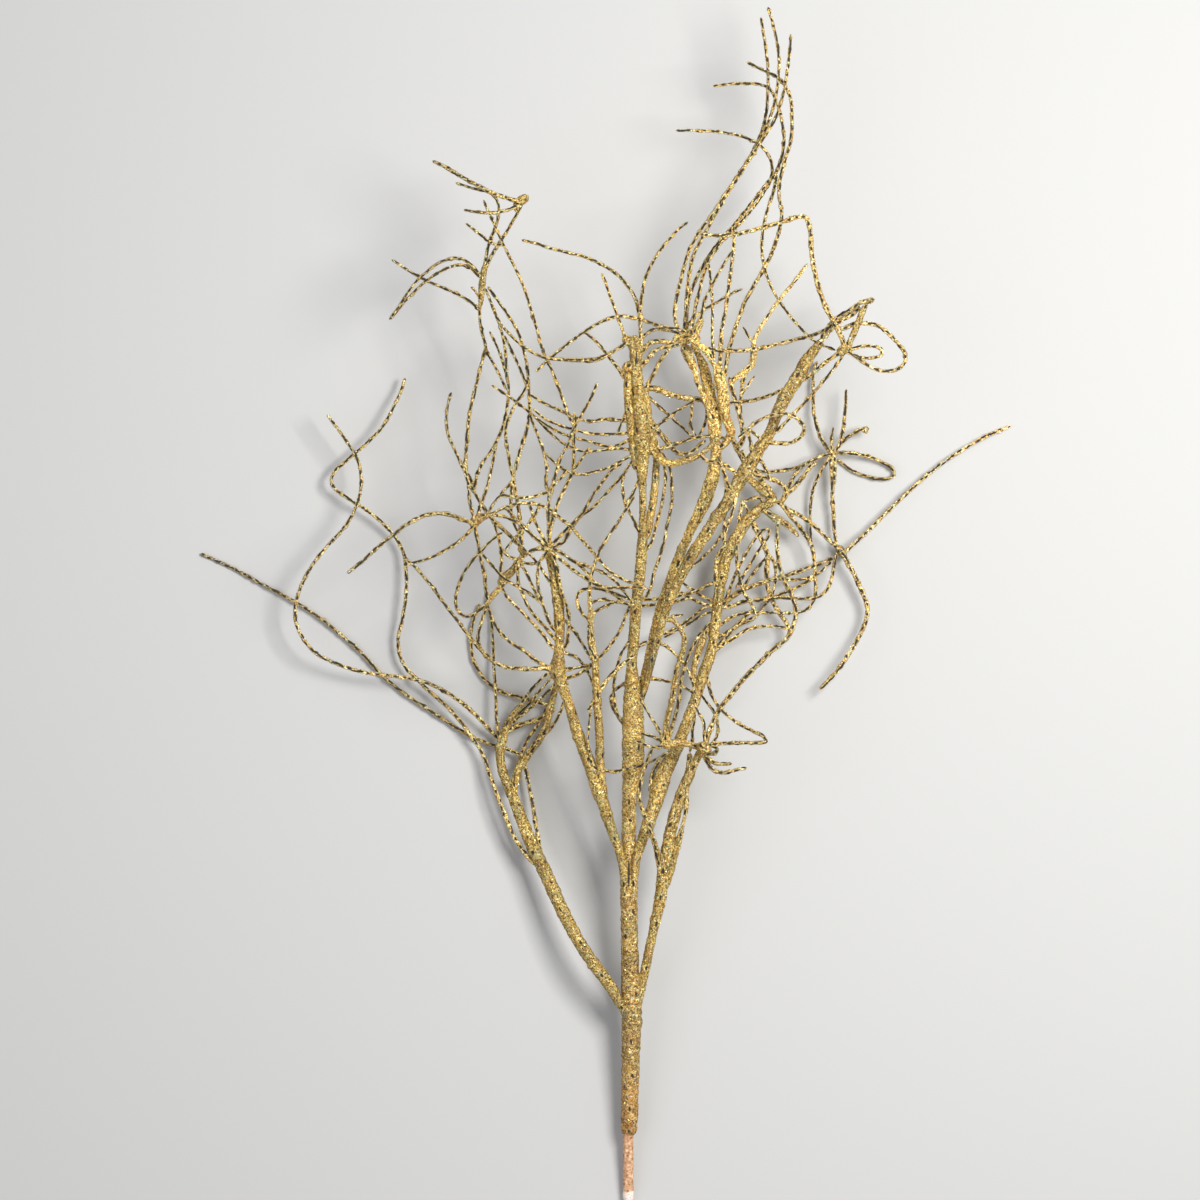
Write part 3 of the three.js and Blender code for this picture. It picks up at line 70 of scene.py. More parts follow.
MAIN_STEM = [
    wrapped([628.5,1137,10.6], [629.6,1124,13], [630.3,1090,13.4], [631.3,1045,14.6],
      [632,1018,15.8], [631.6,998,16], [630.6,975,14.4], [630,950,13.4], [629.4,915,13.2],
      [629,885,13.4], [629.2,855,12], [629.3,820,11.2], [629.4,800,11], [631,780,13.2],
      [633.2,760,16.8], [633.4,720,16.8], [632.8,690,13.4], [632,664,8.4], [634,640,8.6],
      [636,610,8.8], [640,575,8.6], [642,550,8.6], [643,525,6.6], [643,500,5.6], [642.4,481,7],
      [642,466,10], [642,450,13.6], [641.4,435,14.4], [640.6,420,12.8], [639,405,11.6],
      [638,390,11], [636,365,9.8], [635,335,10.4]),
    twig(6.5, [646,540, 650,520, 653,503, 655,487, 656,472, 657,458, 654,442, 650,425, 648,405,
      645,388]),
    wrapped([637,472,5.6], [635,455,7.4], [633,438,8], [630.6,420,7.4], [628.4,402,6.6],
      [628,387,6.6], [628.6,372,5]),
    twig(3.6, [647,552, 653,538, 657,522, 661,508, 664,493, 666,477, 664,463, 659,448, 655,432]),
    twig(3.6, [642,602, 648,594, 652,583, 655,570, 660,556, 664,542, 668,522, 672,503, 672,487,
      671,472, 667,460, 660,450]),
    twig(3.4, [641,536, 636,524, 631,514, 626,505, 623,492, 623,478, 627,468, 633,460]),
    twig(3.4, [627,504, 632,496, 636,486, 641,476]),
    # lumps of glue and tape
    wrapped([637,347,6], [629,341,8.4], [622,338,5]),
    wrapped([637,362,6], [629,367,9], [623,371,5.2]),
    wrapped([648,455,6], [652,446,7.6], [654,436,5]),
    # net to the left of the stem's top
    twig(3.6, [634,421, 620,420, 602,419, 593,421, 578,418, 560,410, 545,403, 530,394]),
    twig(3.4, [634,432, 624,433, 606,434, 590,433, 577,430, 560,425, 545,418, 533,408]),
    twig(3.4, [636,437, 628,440, 616,446, 603,445, 590,441, 577,438, 560,432, 540,420, 520,404,
      503,392, 492,385]),
    twig(3.4, [636,450, 618,448, 600,450, 585,451, 569,446, 558,439, 547,429, 534,415]),
    twig(3.4, [636,453, 624,459, 610,467, 596,471, 580,474, 566,470, 555,462, 545,452]),
    twig(3.2, [628,405, 625,415, 621,425, 618,433]),
    # sprigs of the stem's top
    twig(3.8, [640,372, 641,345, 640,320, 636,300, 628,286, 617,274, 603,265, 588,258, 570,253,
      550,248, 535,243, 522,240]),
    twig(3.6, [641,330, 641,305, 643,290, 646,277, 652,264, 659,252, 668,241, 678,230, 688,222]),
    twig(3.4, [631,352, 625,336, 620,322, 615,308, 609,292, 605,280, 602,273]),
    twig(3.6, [640,319, 622,316, 608,319, 592,327, 576,338, 560,350, 546,362, 536,372]),
    twig(3.6, [641,319, 652,323, 665,327, 678,329, 687,332]),
    twig(3.8, [630,380, 620,370, 612,360, 604,350, 597,342, 585,332]),
    twig(3, [629,385, 622,375, 617,367]),
    twig(3.4, [631,339, 621,347, 609,354, 596,358.5, 580,359.5, 562,359.5, 548,358, 536,354,
      526,348, 516,340, 508,332, 500,322, 494,308, 488,294]),
    twig(3.2, [630,341, 612,352, 598,360, 582,361, 565,360, 550,359]),
    twig(3.6, [640,341, 650,331, 660,329, 672,331, 682,334]),
    twig(5, [640,353, 652,342, 663,341, 674,343, 684,341]),
    twig(4.6, [641,369, 649,357, 656,350, 670,346, 682,344]),
    twig(4.4, [645,390, 653,375, 659,363, 668,350, 676,340]),
    # ties between the stem's top and the crown
    twig(5.2, [645,388, 657,388, 668,393, 680,396, 690,398, 703,399, 713,401]),
    twig(3.4, [647,394, 656,403, 671,416, 686,430, 696,439]),
    twig(3.4, [653,430, 664,420, 680,409, 695,400]),
    twig(4, [658,449, 675,444, 690,439, 705,436, 716,436, 725,438]),
    twig(4.8, [651,418, 655,426, 659,431, 666,440, 673,448, 684,454, 693,451, 699,445, 706,440]),
    wrapped([650,442,5], [655,452,6], [661,459.5,6], [669,463,6], [684,460.4,5.6], [697,456,5],
      [706,450,4.4], [714,442,4.2], [719,435,4]),
    twig(3.2, [657,428, 667,438, 673,445]),
    twig(3.2, [692,400, 692,412, 691,425, 697,437]),
    twig(3.2, [702,399, 707,408, 706,420, 701,432, 697,440]),
    # twigs along the stem
    twig(3.6, [629,730, 620,718, 613,707, 611,698, 615,690, 626,682, 633,677]),
    twig(3.4, [627,726, 617,712, 615,700, 614,685, 617,668, 622,652, 630,640]),
    twig(3.4, [634,650, 645,642, 656,642, 665,645, 676,654, 684,663, 690,674, 694,688, 696,702]),
    twig(3.4, [640,677, 658,679, 674,682, 690,690, 700,697]),
]

LOWER_LEFT = [
    wrapped([626,1016,6], [619,1001,8.2], [610.5,986,9.4], [597,967.5,9.8], [584,949,9.8],
      [572.5,929.5,10], [562,909,10.4], [552.5,888,10.8], [542.5,866,10.8], [533,847,10.4],
      [523.5,824,10], [516,804,9.4], [509,787,8.4], [503,772,7.6], [500.5,758,7.4],
      [501,745,8.4], [506,728,6.6], [513,715,6], [521,705,5]),
    wrapped([513,795,6.2], [517,775,7], [520.5,764,7.4], [529.5,753.5,6.2], [536,744.5,6.2],
      [545,728,6.2], [549,713,6.4], [553,698,5.6], [556,686,5]),
    twig(3.4, [516,711, 532,689, 543,677, 551,671, 559,666]),
    twig(3.4, [510,720, 528,704, 542,688, 551,678, 559,670]),
    twig(3.6, [510,724, 531,707, 544,695, 552,687, 559,679]),
    twig(5, [504,733, 514,727, 525,723, 536,720, 546,715, 555,708]),
    twig(3.6, [523,760, 532,746, 547,732, 557,719, 563,705, 566,692, 567,682]),
    twig(3.6, [518,763, 529,737, 541,720, 547,706]),
    twig(3.8, [549,705, 532,700, 512,695, 497,689, 484,678, 474,661, 471,645, 471,630, 476,613,
      480,603]),
    twig(3.4, [501,748, 497,722, 496,698, 494,665, 493,640, 491,618, 488,604, 487,594]),
    # three long twigs that sweep out to the left
    FAR_LEFT_TWIG,
    twig(3.9, [506,750, 497,737, 486,725, 470,709, 450,694, 425,681.5, 400,676.5, 387,675,
      368,672.5, 353,669, 335,662.5, 315,652, 303,638, 296,622, 295,608, 300,588, 310,568,
      325,548, 341,531, 347,523, 354,511, 360,493, 361,476, 357,457, 350,446, 340,431, 327,414]),
    twig(3.9, [545,872, 530,859, 519,844, 510,827, 501,804, 492,780, 482,752, 470,734, 458,718,
      446,705, 432,693, 418,680, 402,661, 398,640, 402,620, 406,595, 406,570, 402,548, 388,528,
      370,512, 350,499, 333,486, 332,475, 345,461, 365,444, 383,425, 394,405, 401,390, 405,377]),
]

UPPER_LEFT = [
    wrapped([625,892,4], [624.2,878,6], [623,863,7.4], [619.5,850,7], [616.2,841,7.2],
      [609,821,8.6], [604,804,9.6], [599,791,11], [593,772,10.4], [587,756,10], [577,730,9],
      [569,703,8], [562,684,9], [558,670,13.2], [559,656,9.4], [560,640,8], [559.5,618,8.8],
      [558.5,603,9.2], [556,583,9], [552,562,8.2], [549,548,8.6]),
    wrapped([606,803,5], [603,786,6.2], [600.5,765,6.8], [600,740,6.6], [598.5,715,6.8],
      [597,695,6.8], [596,675,6.2], [595.5,660,5.4], [593,643,4.8], [591,622,5.2], [591,612,4.4],
      [590,600,3.8], [590,588,3.6]),
    twig(3.8, [564,652, 567,643, 569,628, 569,617, 566,603, 562,592, 559,575, 556,562, 551,552]),
    # knot at the top of the branch
    twig(4.2, [549,550, 538,548, 529,552, 519,561]),
    twig(3.8, [549,548, 549,520, 549,500, 552,487, 561,478, 567,469]),
    twig(3.8, [549,545, 551,528, 555,513, 560,498, 567,484, 573,470, 574,455, 574,440, 575,425,
      575,412]),
    twig(3.6, [550,500, 553,485, 557,470, 562,455, 569,443, 573,430, 580,418, 590,400, 598,382]),
    twig(3.2, [573,472, 579,463, 585,454, 591,446]),
    twig(3.6, [551,548, 563,542, 571,530, 577,520, 584,513, 592,508, 602,498, 613,486, 620,478,
      629,468]),
    twig(3.6, [550,546, 558,538, 566,530, 574,522, 583,512, 589,502, 595,492, 603,481, 612,470,
      622,463]),
    twig(3.6, [548,507, 556,514, 571,526, 584,541, 597,556, 608,569, 620,577, 634,583, 646,586]),
    twig(3.6, [551,549, 560,551, 571,559, 580,563, 594,568, 606,573, 617,582, 625,592, 635,604]),
    twig(3.6, [551,552, 561,559, 573,569, 583,576, 594,583, 606,587, 620,587, 634,587, 648,588]),
    twig(3.4, [577,562, 586,571, 594,581, 604,587, 614,594, 622,600, 633,606]),
    twig(3.4, [548,493, 546,480, 547,467, 544,452, 539,437, 534,425, 530,413]),
    twig(3.6, [549,492, 541,494, 530,497, 515,497, 503,495, 497,499, 490,510, 488,515]),
    twig(3.6, [549,508, 533,503, 520,503, 508,506, 497,511, 488,515]),
    twig(3.4, [549,546, 541,533, 534,517, 529,502]),
    # knot at the left and the twigs between
    twig(4.2, [519,560, 523,549, 518,543, 507,532, 494,520, 488,513, 480,500, 472,487, 467,474]),
    wrapped([489,515,5], [482,517,6.8], [476,521,8.6], [472,527,5.4]),
    wrapped([519,546,4.6], [523,550,6.6], [527,554,4.6]),
    wrapped([500,578,4.6], [502,582,7], [500,586,4.6]),
    twig(3.4, [519,560, 510,556, 502,549, 499,537, 496,528, 491,517]),
    twig(3.2, [520,562, 530,563, 539,562, 546,554]),
    twig(3.6, [558,642, 545,626, 531,610, 523,594, 519,583, 518,572, 519,562]),
    twig(3.6, [557,652, 540,630, 520,609, 508,597, 502,586]),
    twig(3.6, [557,634, 549,620, 543,604, 535,590, 526,571, 520,562]),
    twig(3.4, [541,602, 530,593, 518,586, 506,579, 497,570, 488,560, 481,551]),
    twig(3.4, [543,604, 539,590, 538,577, 539,566, 543,556, 549,550]),
    twig(3.2, [552,585, 545,573, 538,563, 529,553, 522,548]),
    wrapped([521,557,4.6], [518,563,6.8], [511,573,5.4], [503,584,4.8], [495,593,4.8],
      [486,604,5.2]),
    twig(3.6, [486,604, 477,612, 467,616, 459,611, 456,600, 458,588, 464,573, 473,560, 481,551,
      492,540, 503,532]),
    twig(4, [489,600, 486,588, 485,574, 481.5,560, 479,545, 476,531, 475,520]),
    twig(3.6, [501,588, 501,570, 502,555, 500,545]),
    twig(4.2, [522,549, 521,530, 519,510, 516,493, 513,476]),
    twig(3.4, [513,480, 507,487, 500,495]),
    twig(3.4, [513,482, 511,500, 513,520, 521,536]),
    twig(3.4, [541,504, 533,518, 524,529, 513,540, 505,551]),
    twig(3.6, [505,506, 513,515, 521,524, 531,533, 541,541, 549,547]),
    twig(3.4, [522,522, 530,532, 539,541, 547,547]),
    twig(3.6, [489,515, 500,515, 511,519, 521,524]),
    twig(3.6, [476,524, 463,538, 447,549, 429,558, 408,564]),
    twig(4.2, [475,524, 463,519, 450,514, 436,513, 420,517, 406,525, 394,534.5, 381,544.5,
      364,560, 348,573]),
    twig(3.6, [475,520, 470,500, 469,483, 462,464, 454,447, 448,432, 447,416, 449,402, 452,392]),
    twig(3.4, [474,490, 478,473, 484,461, 492,450, 500,434, 505,420, 508,402, 509,386, 505,368,
      499,350, 490,331]),
    twig(3.6, [477,518, 482,503, 487,488, 491,472, 494,458, 497,443]),
    twig(3.4, [513,476, 509,455, 506,430, 511,414, 517,402, 524,392, 529,380]),
    twig(3.6, [514,477, 519,456, 524,440, 528,425, 530,408, 529,390, 528,370, 524,350, 519,333,
      510,317, 500,303, 488,286]),
    twig(3.2, [478,490, 472,480, 468,472]),
    # tall sprig at the upper left
    twig(3.8, [467,475, 466,462, 467,445, 468,430, 470,412, 474,395, 479,375, 483,358, 486,347,
      484,338, 481,325, 480,310, 482,295, 484,278]),
    wrapped([481,306,3.6], [482,290,5.6], [484,272,5.4], [488,258,3.8]),
    twig(3.6, [485,270, 495,250, 505,235, 514,220, 523,204]),
    wrapped([511,209,4.4], [518,204,6.4], [524,199,8], [529,196,5.6]),
    twig(4.3, [523,203, 513,200, 495,194, 475,184, 460,176, 447,168, 433,161]),
    twig(3.6, [522,205, 516,207, 505,211, 490,213, 475,212, 464,210]),
    twig(3.4, [485,268, 489,245, 498,220, 499,205, 492,194, 475,189, 456,183]),
    twig(3.4, [575,426, 570,417, 562,396, 553,372, 543,350, 537,328, 532,312, 527,295, 519,275,
      511,259, 503,243, 495,225, 488,210, 484,200]),
    twig(3.4, [503,246, 492,243, 480,234, 466,223]),
    twig(3.4, [484,280, 477,271, 467,261, 456,258, 441,262, 427,272, 414,285, 401,304, 390,320]),
    twig(3.4, [482,280, 472,268, 457,265, 440,272, 424,283, 405,302, 392,318]),
    twig(3.4, [482,311, 470,301, 452,291, 435,284, 415,274, 392,259]),
    twig(3, [482,303, 478,294, 471,286]),
    twig(3.2, [484,347, 492,360, 500,375, 507,390]),
    twig(3.2, [508,384, 505,345, 500,325, 492,305, 486,288]),
    twig(3.2, [529,390, 521,370, 512,350, 505,335]),
    # right-hand arm of the branch
    twig(4, [595,662, 591,648, 589,636, 589,624]),
    twig(3.6, [590,590, 591,578, 594,566, 600,550, 606,540, 614,528, 622,516, 628,506, 635,496]),
    twig(3.4, [588,621, 583,613, 579,606, 577,598, 580,591, 588,588, 597,588, 606,590, 614,592,
      623,596, 634,600]),
    twig(3.6, [590,621, 593,614, 599,609, 607,605, 616,601, 626,602, 637,604]),
    twig(3.4, [590,603, 597,600, 605,599, 613,601, 622,602, 632,605]),
    twig(3.4, [563,653, 574,655, 581,661, 587,669, 592,680, 596,690]),
    twig(3.4, [561,669, 578,667, 594,663]),
    twig(3.8, [562,678, 575,675, 586,669, 596,661, 606,650, 614,640, 621,628, 626,615, 632,600]),
    twig(3.4, [560,615, 571,626, 578,636, 585,647, 592.5,660]),
    twig(4.6, [598,694, 604,684, 611,675, 618,668, 626,661, 635,655]),
    twig(4, [597,697, 592,703.5, 588,711]),
    twig(3, [600,772, 594,765, 590,752, 588,738, 590,718, 591,703]),
    twig(3.6, [601,768, 612,771, 628,768, 645,763, 658,758, 669,751]),
    # bundle to the left of the thick knot
    twig(4.2, [556,668, 540,668, 520,668, 505,666, 490,658, 480,646, 479,632, 484,616, 487,604]),
    twig(3.8, [555,669, 538,661, 524,650, 510,641, 496,625, 488,605]),
    twig(3.8, [493,660, 480,648, 470,636, 458,620, 444,602, 432,585, 418,569, 405,556]),
]

CROWN = [
    wrapped([637,706,4.6], [641,690,5.4], [647,664,6], [652,640,6], [657,620,6.6], [662,603,7.4],
      [668,588,8], [673,573,8], [679,557,8.2], [688,536,7.6], [697,517,9], [704.2,502,10.6],
      [710.6,484,11.2], [715.2,466,10.2], [716,448,8.6], [713.5,430,8.6], [711.5,415,7.4],
      [706.5,401,5], [701,390,4.2], [697.6,382,4.2], [695.6,372,5], [691.6,362,7.2],
      [688.4,354,8.6], [683.5,344,8.4]),
    wrapped([716,446,5], [717,425,7.8], [714.5,408,9], [711.5,397,9], [709.4,390,9.4],
      [707.4,382,9.6], [705.6,372,8.8], [702.2,362,7.4], [698.6,354,5], [692,343,5]),
    wrapped([719,450,5], [731,433,7.2], [725.5,415,8], [723.4,396,9.4], [720.6,380,10.2],
      [718.4,371,8.6], [715.8,366,5.2], [711.8,360,4.4], [707,351,6.4], [699,345,5.8],
      [690,338,5]),
    wrapped([673,343,5.4], [681,338,11], [691,336,11], [700,341,5.4]),
    wrapped([692,336,6], [698,327,7], [702,317,4.4]),
    twig(5, [726,420, 731,433, 738,450, 746,464, 755,477]),
    twig(5, [738,448, 744,436, 741,420, 738,407, 732,388, 729.5,376]),
    twig(3.8, [660,617, 672,616, 684,614]),
    # tallest twigs
    twig(3.7, [682,340, 676,323, 675,308, 680,284, 688,254, 697,236, 712,214, 728,190, 748,160,
      765,130, 774,105, 778,82, 779,58, 775,32, 768,7]),
    twig(3.7, [684,340, 686,312, 688,285, 694,254, 704,235, 720,206, 738,176, 757,143, 765,120,
      768,92, 768,68, 765,42, 761,17]),
    twig(3.6, [729,189, 745,166, 760,143, 776,117, 783,95, 787,73, 790,47, 791,34]),
    twig(3.6, [686,340, 689,299, 698,275, 713,250, 739,219, 764,187, 776,172, 783,152, 784,135,
      780,112, 773,93, 766,86, 745,83, 728,84, 713,86]),
    twig(3.6, [690,340, 694,315, 699,293, 705,270, 715,250, 741,222, 762,195, 772,175, 771,160,
      762,146, 748,138, 735,134, 715,131, 695,130, 676,130]),
    twig(4, [725,380, 728,354, 736,327, 745,302, 759,277, 770,257, 778,235, 782,215, 779,190,
      785,160, 791,140, 792,120, 790,96, 781,80, 765,71, 747,62]),
    twig(3.4, [777,171, 774,190, 769,205, 764,225, 762,250, 768,278, 779,300, 800,327, 815,341,
      836,350]),
    twig(4.2, [719.5,376, 720.5,360, 721,345, 721.6,332, 726,308, 731,270, 734,245, 733,226]),
    twig(3.4, [714,362, 713,345, 712.6,330, 712.4,300, 709,263]),
    twig(3.4, [691,338, 700,322, 705,300, 716,278, 725,262, 733,250]),
    twig(3.4, [686,326, 700,312, 715,303, 730,294, 743,288]),
    wrapped([728,384,4.4], [742,373,5], [752,364,5.4], [754,350,5.4], [754,342,4], [761,327,3.4],
      [779,300,3.4], [793,283,3.2], [808,263,3]),
    twig(3.2, [754,343, 749,336, 743,326]),
    twig(4, [700,347, 722,350, 743,350, 760,348, 780,343, 800,338, 820,332, 836,322, 848,315,
      860,305]),
    twig(4, [747,370, 743,383, 741,399, 741,415]),
    twig(2.8, [742,395, 748,385, 755,375]),
    twig(4, [726,402, 745,401, 760,398, 772,394, 785,388]),
]

UPPER_RIGHT = [
    wrapped([642,702,4.4], [646,686,5], [651,665,5.6], [657,642,5.8], [663,620,6.4],
      [669,602,7.2], [677,584,8], [684,570,8.6], [692.3,554.6,9.4], [702.3,539.6,9.6],
      [712.3,523.6,9.8], [722,510,10.2], [731,496,10.4], [739,481,11], [746,470,12.4],
      [754,458,10.8], [760,447,10.4], [767,438,9.2], [773,424,8.8], [778,411,9.6],
      [784.4,398.3,11], [790.8,387.4,10.6], [799,374.6,11.2], [806,361,9.8], [814,350,8.2],
      [822,340,5]),
    twig(4.4, [820,342, 830,325, 838,317, 850,310, 860,303, 868,300, 874,299]),
    twig(4.2, [822,342, 832,327, 840,321, 852,315, 860,307]),
    wrapped([866,302,3.6], [870,300.5,5.4], [874,299,4.6]),
    twig(3.6, [770,436, 779,429, 792,415, 807,400, 820,385, 834,368, 845,352]),
    wrapped([844,354,4.4], [850,341,5.2], [856,328,5.6], [860.5,316,5.4], [864.5,307,4.8],
      [867,303,3.6]),
    wrapped([836,353,5], [841,350.5,7.2], [847,348,7], [851,345,4.6]),
    twig(4.4, [799,383, 815,371, 829,359.5, 843,351]),
    twig(4.2, [838,333, 850,325, 862,323, 876,325, 889,334, 898,344, 905,354, 904,363, 897,369,
      885,371, 873,368, 861,361, 852,354, 844,352]),
    twig(3.6, [845,352, 858,347, 870,346, 881,349, 883,353, 876,357, 864,358, 852,354]),
    twig(4.8, [846,350, 838,330, 830,316, 821,296, 814,270, 811,250, 809,226, 804,217, 790,220,
      770,226, 748,232, 722,236, 700,235]),
    twig(4, [764,442, 780,443, 792,442, 802,435, 804,427, 797,418, 785,414, 772,415, 758,421,
      748,429, 738,438]),
    twig(3.6, [748,429, 754,433, 761,440]),
    twig(4, [732,494, 726,480, 722,466, 717,456]),
    twig(4.4, [741,477, 730,468, 718,462, 706,460, 700,454]),
    twig(4, [748,468, 752,452, 750,440, 748,430]),
    twig(3.8, [756,455, 762,462, 767,472, 771,482]),
    twig(4, [738,482, 735,500, 731,516, 726,530, 723,541]),
]

RIGHT = [
    wrapped([634,892,4], [634.8,878,6], [635.6,863,7.4], [638.8,850,7.8], [642.2,841,8.4],
      [648.2,824,10.4], [654.4,806,11.2], [657.8,794,13], [660.4,784,13.8], [666.4,768,12.2],
      [675.8,750,10.4], [683,733,9], [690,714,8.6], [696,698,8.4], [701,682,8.6], [706,667,9],
      [711.5,652,8.4], [714,636,8], [716.6,618,9], [718.8,598,9], [722.2,578,8.8], [727,558,9.8],
      [734,541.5,10], [743.4,525,10.2], [753,514,9.6], [764,505,7.8], [776,499,8]),
    twig(4.2, [653,804, 651,789, 652,775, 657,764, 665,752]),
    wrapped([717,592,4.2], [716,572,4.4], [719,554,4.8], [727,544,4]),
    twig(4.4, [778,499, 789,509, 799,514, 811,522, 826,536, 838,547, 846,553]),
    twig(4.2, [780,501, 790,514, 804,532, 812,545, 815,562, 816,580, 816,597]),
    wrapped([777,500,7], [768,494,9], [757,484,7], [748,477,5.4], [739,469,4.6]),
    twig(4.8, [782,501, 787,490, 778,481, 768,477, 758,475, 747,469]),
    twig(5, [775,498, 766,485, 757,473, 748,460, 742,449]),
    # star of twigs at the right
    twig(3.8, [787,492, 792,480, 800,468, 812,460, 823,455, 834,453]),
    twig(4.6, [788,494, 798,483, 806,473, 813,464, 818,461]),
    twig(3.8, [808,462, 797,467, 780,470, 764,471, 753,468]),
    twig(3.8, [833,453, 839,446, 843,431, 845.5,412, 847,388]),
    twig(3.6, [832,453, 832,440, 834,426]),
    twig(4, [833,453, 845,439, 856,432, 867,428, 868,433]),
    wrapped([862,430,4], [866,428.5,6.4], [868,431,5]),
    twig(3.8, [834,452, 850,452, 866,455, 880,460, 891,466, 896,472, 892,477, 882,478, 866,475,
      850,468, 838,458]),
    twig(3.8, [832,454, 822,438, 817,424, 814,408, 814,390, 814,372, 818,360]),
    twig(3.4, [831,454, 832,475, 833,494]),
    twig(4.2, [835,454, 835,475, 833,492, 834,512, 835,530, 837,546]),
    twig(3.4, [832,454, 821,471, 814,488, 811,508, 811,528, 812,545]),
    # longest tip, and the drooping one under it
    wrapped([837,545,4.6], [842,551,7.4], [846,558,4.8]),
    twig(4.7, [842,549, 847,560, 855,574, 862,590, 867,602, 868,613, 864,627, 857,641, 848,656,
      838,670, 828,681, 820,689]),
    FAR_RIGHT_TWIG,
    # twigs between the branch and the star's stem
    twig(4, [719,606, 730,606, 745,601, 762,599, 780,597, 800,598, 816,597, 825,592, 831,582,
      834,568, 837,552]),
    twig(4.6, [720,606, 726,602, 735,594, 749,587, 765,581, 786,575, 804,569, 820,563, 834,558]),
    twig(3.4, [776,578, 790,579, 806,578, 820,572, 832,561]),
    twig(3.4, [815,577, 797,587, 780,594, 771,598, 763,608, 757,616]),
    twig(3.6, [716,628, 728,619, 742,613, 760,612, 785,612, 803,611, 811,605, 816,597]),
    twig(4.8, [751,515, 756,528, 763,541, 768,555, 767,570, 768,585, 772,598, 779,611, 787,623,
      790,632, 786,640, 780,643]),
    twig(3.6, [752,518, 747,508, 741,498]),
    wrapped([762,507,4.6], [774,516,6], [783,521,5.6], [792,528,4.6], [799,536,2.8]),
    twig(3.8, [743,501, 740,515, 738,535, 737,555, 739,573, 744.5,592, 752,604, 757,617]),
    twig(3.6, [757,616, 745,622, 733,629, 720,638]),
    twig(3.4, [768,552, 775,563, 776,578, 773,595]),
    twig(3.4, [724,604, 729,592, 734,578, 740,565, 747,552, 754,540, 762,531, 768,527, 770,532,
      765,541, 757,553, 749,566, 742,578, 736,588]),
    twig(3.4, [768,556, 759,566, 749,579, 742,590, 733,598]),
    twig(3.6, [713,641, 725,633, 738,625, 748,613, 757,606]),
    twig(3.8, [710,656, 722,645, 735,637, 748,629, 762,626, 778,626, 789,628]),
    twig(4.4, [711,654, 723,641, 733,629, 742,620, 750,612]),
    twig(3.6, [716,603, 706,606, 692,617, 680,625, 666,632.5, 656,638, 645,643]),
    twig(3, [712,610, 702,615, 690,623, 678,630, 664,637]),
    twig(3.8, [720,580, 707,585, 695,591, 684,594, 668,597, 650,599, 635,601]),
    twig(3.4, [717,602, 705,597, 694,590, 684,583, 674,573]),
    twig(3.6, [716,606, 700,602, 688,596, 678,590, 667,584]),
    twig(3.6, [690,597, 680,600, 668,603, 655,604, 645,605, 636,606]),
    twig(3.8, [725,562, 725,540, 725,520, 725,500, 727,485, 725,472]),
    twig(3.4, [725,530, 714,546, 702,558, 690,568, 680,576, 671,584]),
    twig(3.8, [764,505, 762,498, 752,498, 743,501]),
    wrapped([698,692,4], [694,676,4.8], [696.6,658,5.8], [702.5,641,6.2], [710,624,5.4]),
]

LOWER_RIGHT = [
    wrapped([637.5,1010,6], [640.5,992,7.2], [643.5,978,7.4], [646.5,965,7.4], [649,951,7.4],
      [652.5,936,7.2], [655.5,921,8], [659,907,9.2], [661.5,892,9.8], [664.5,868,10.4],
      [668.5,844,10.2], [671.5,828,9.6], [675,814,9.8], [680,798,9.4], [684,787,8.6],
      [688.5,777,9], [694,764,6.8], [700,753,7], [704,746,7.4]),
    wrapped([661,892,4.4], [660,872,4.6], [657,852,4.6], [653,836,4.6], [647,820,4.4],
      [642,808,4.2], [639.5,793,4], [642,776,4], [647,761,3.8], [653,748,3.6]),
    wrapped([665,892,4.4], [669,876,6.4], [673,860,7.4], [676.5,846,7], [680.5,834,5],
      [683.5,822,3.2], [685.8,812,3.4], [686.6,805,4.4], [687,797,3.4], [687,785,3.4],
      [688,768,3.8], [690,752,3.6]),
    twig(4.2, [703,752, 712,768, 721,772, 733,770, 747,767]),
    twig(4.4, [704,753, 714,762, 732,763]),
    twig(3.8, [703,752, 714,753, 718,748, 712,745, 704,745]),
    twig(3.8, [704,745, 720,743, 740,742, 758,742, 767,740, 764,736, 752,730, 739,723, 728,715,
      719,706, 713,697, 709,686, 707,675]),
    twig(4.7, [705,744, 713,722, 720,708, 731,694, 745,677, 760,662, 772,650, 783,641, 790,633,
      794,622, 796,610, 792,596, 784,580, 779,564, 777,547, 777,530, 779,517]),
    twig(3.4, [711,743, 716,738, 718,726, 715,713, 708,703, 701,694]),
    twig(3.4, [704,743, 704,722, 698,711, 694,702]),
    twig(3.2, [694,748, 692,735, 694,725, 696,714]),
    wrapped([698,744,5.4], [704,747,9.6], [711,750,5.4]),
    # hub to the left of the branch's end
    wrapped([702,748,5.4], [684,742,5.4], [673,743,7], [667,743,9], [661,744,5]),
    twig(3.8, [667,744, 655,747, 644,743, 635,740]),
    twig(3.6, [665,740, 653,736, 644,733, 635,731]),
    twig(3.4, [664,740, 659,729, 652,718, 646,708, 640,697]),
    twig(5.2, [666,742, 667,722, 672,700, 675,682, 677,668, 681,656, 684,645, 684,636, 680,628,
      673,620, 665,619]),
    twig(3.8, [668,742, 674,720, 678,705, 680,690, 683,672, 688,657, 694,644, 702,631, 712,620]),
]

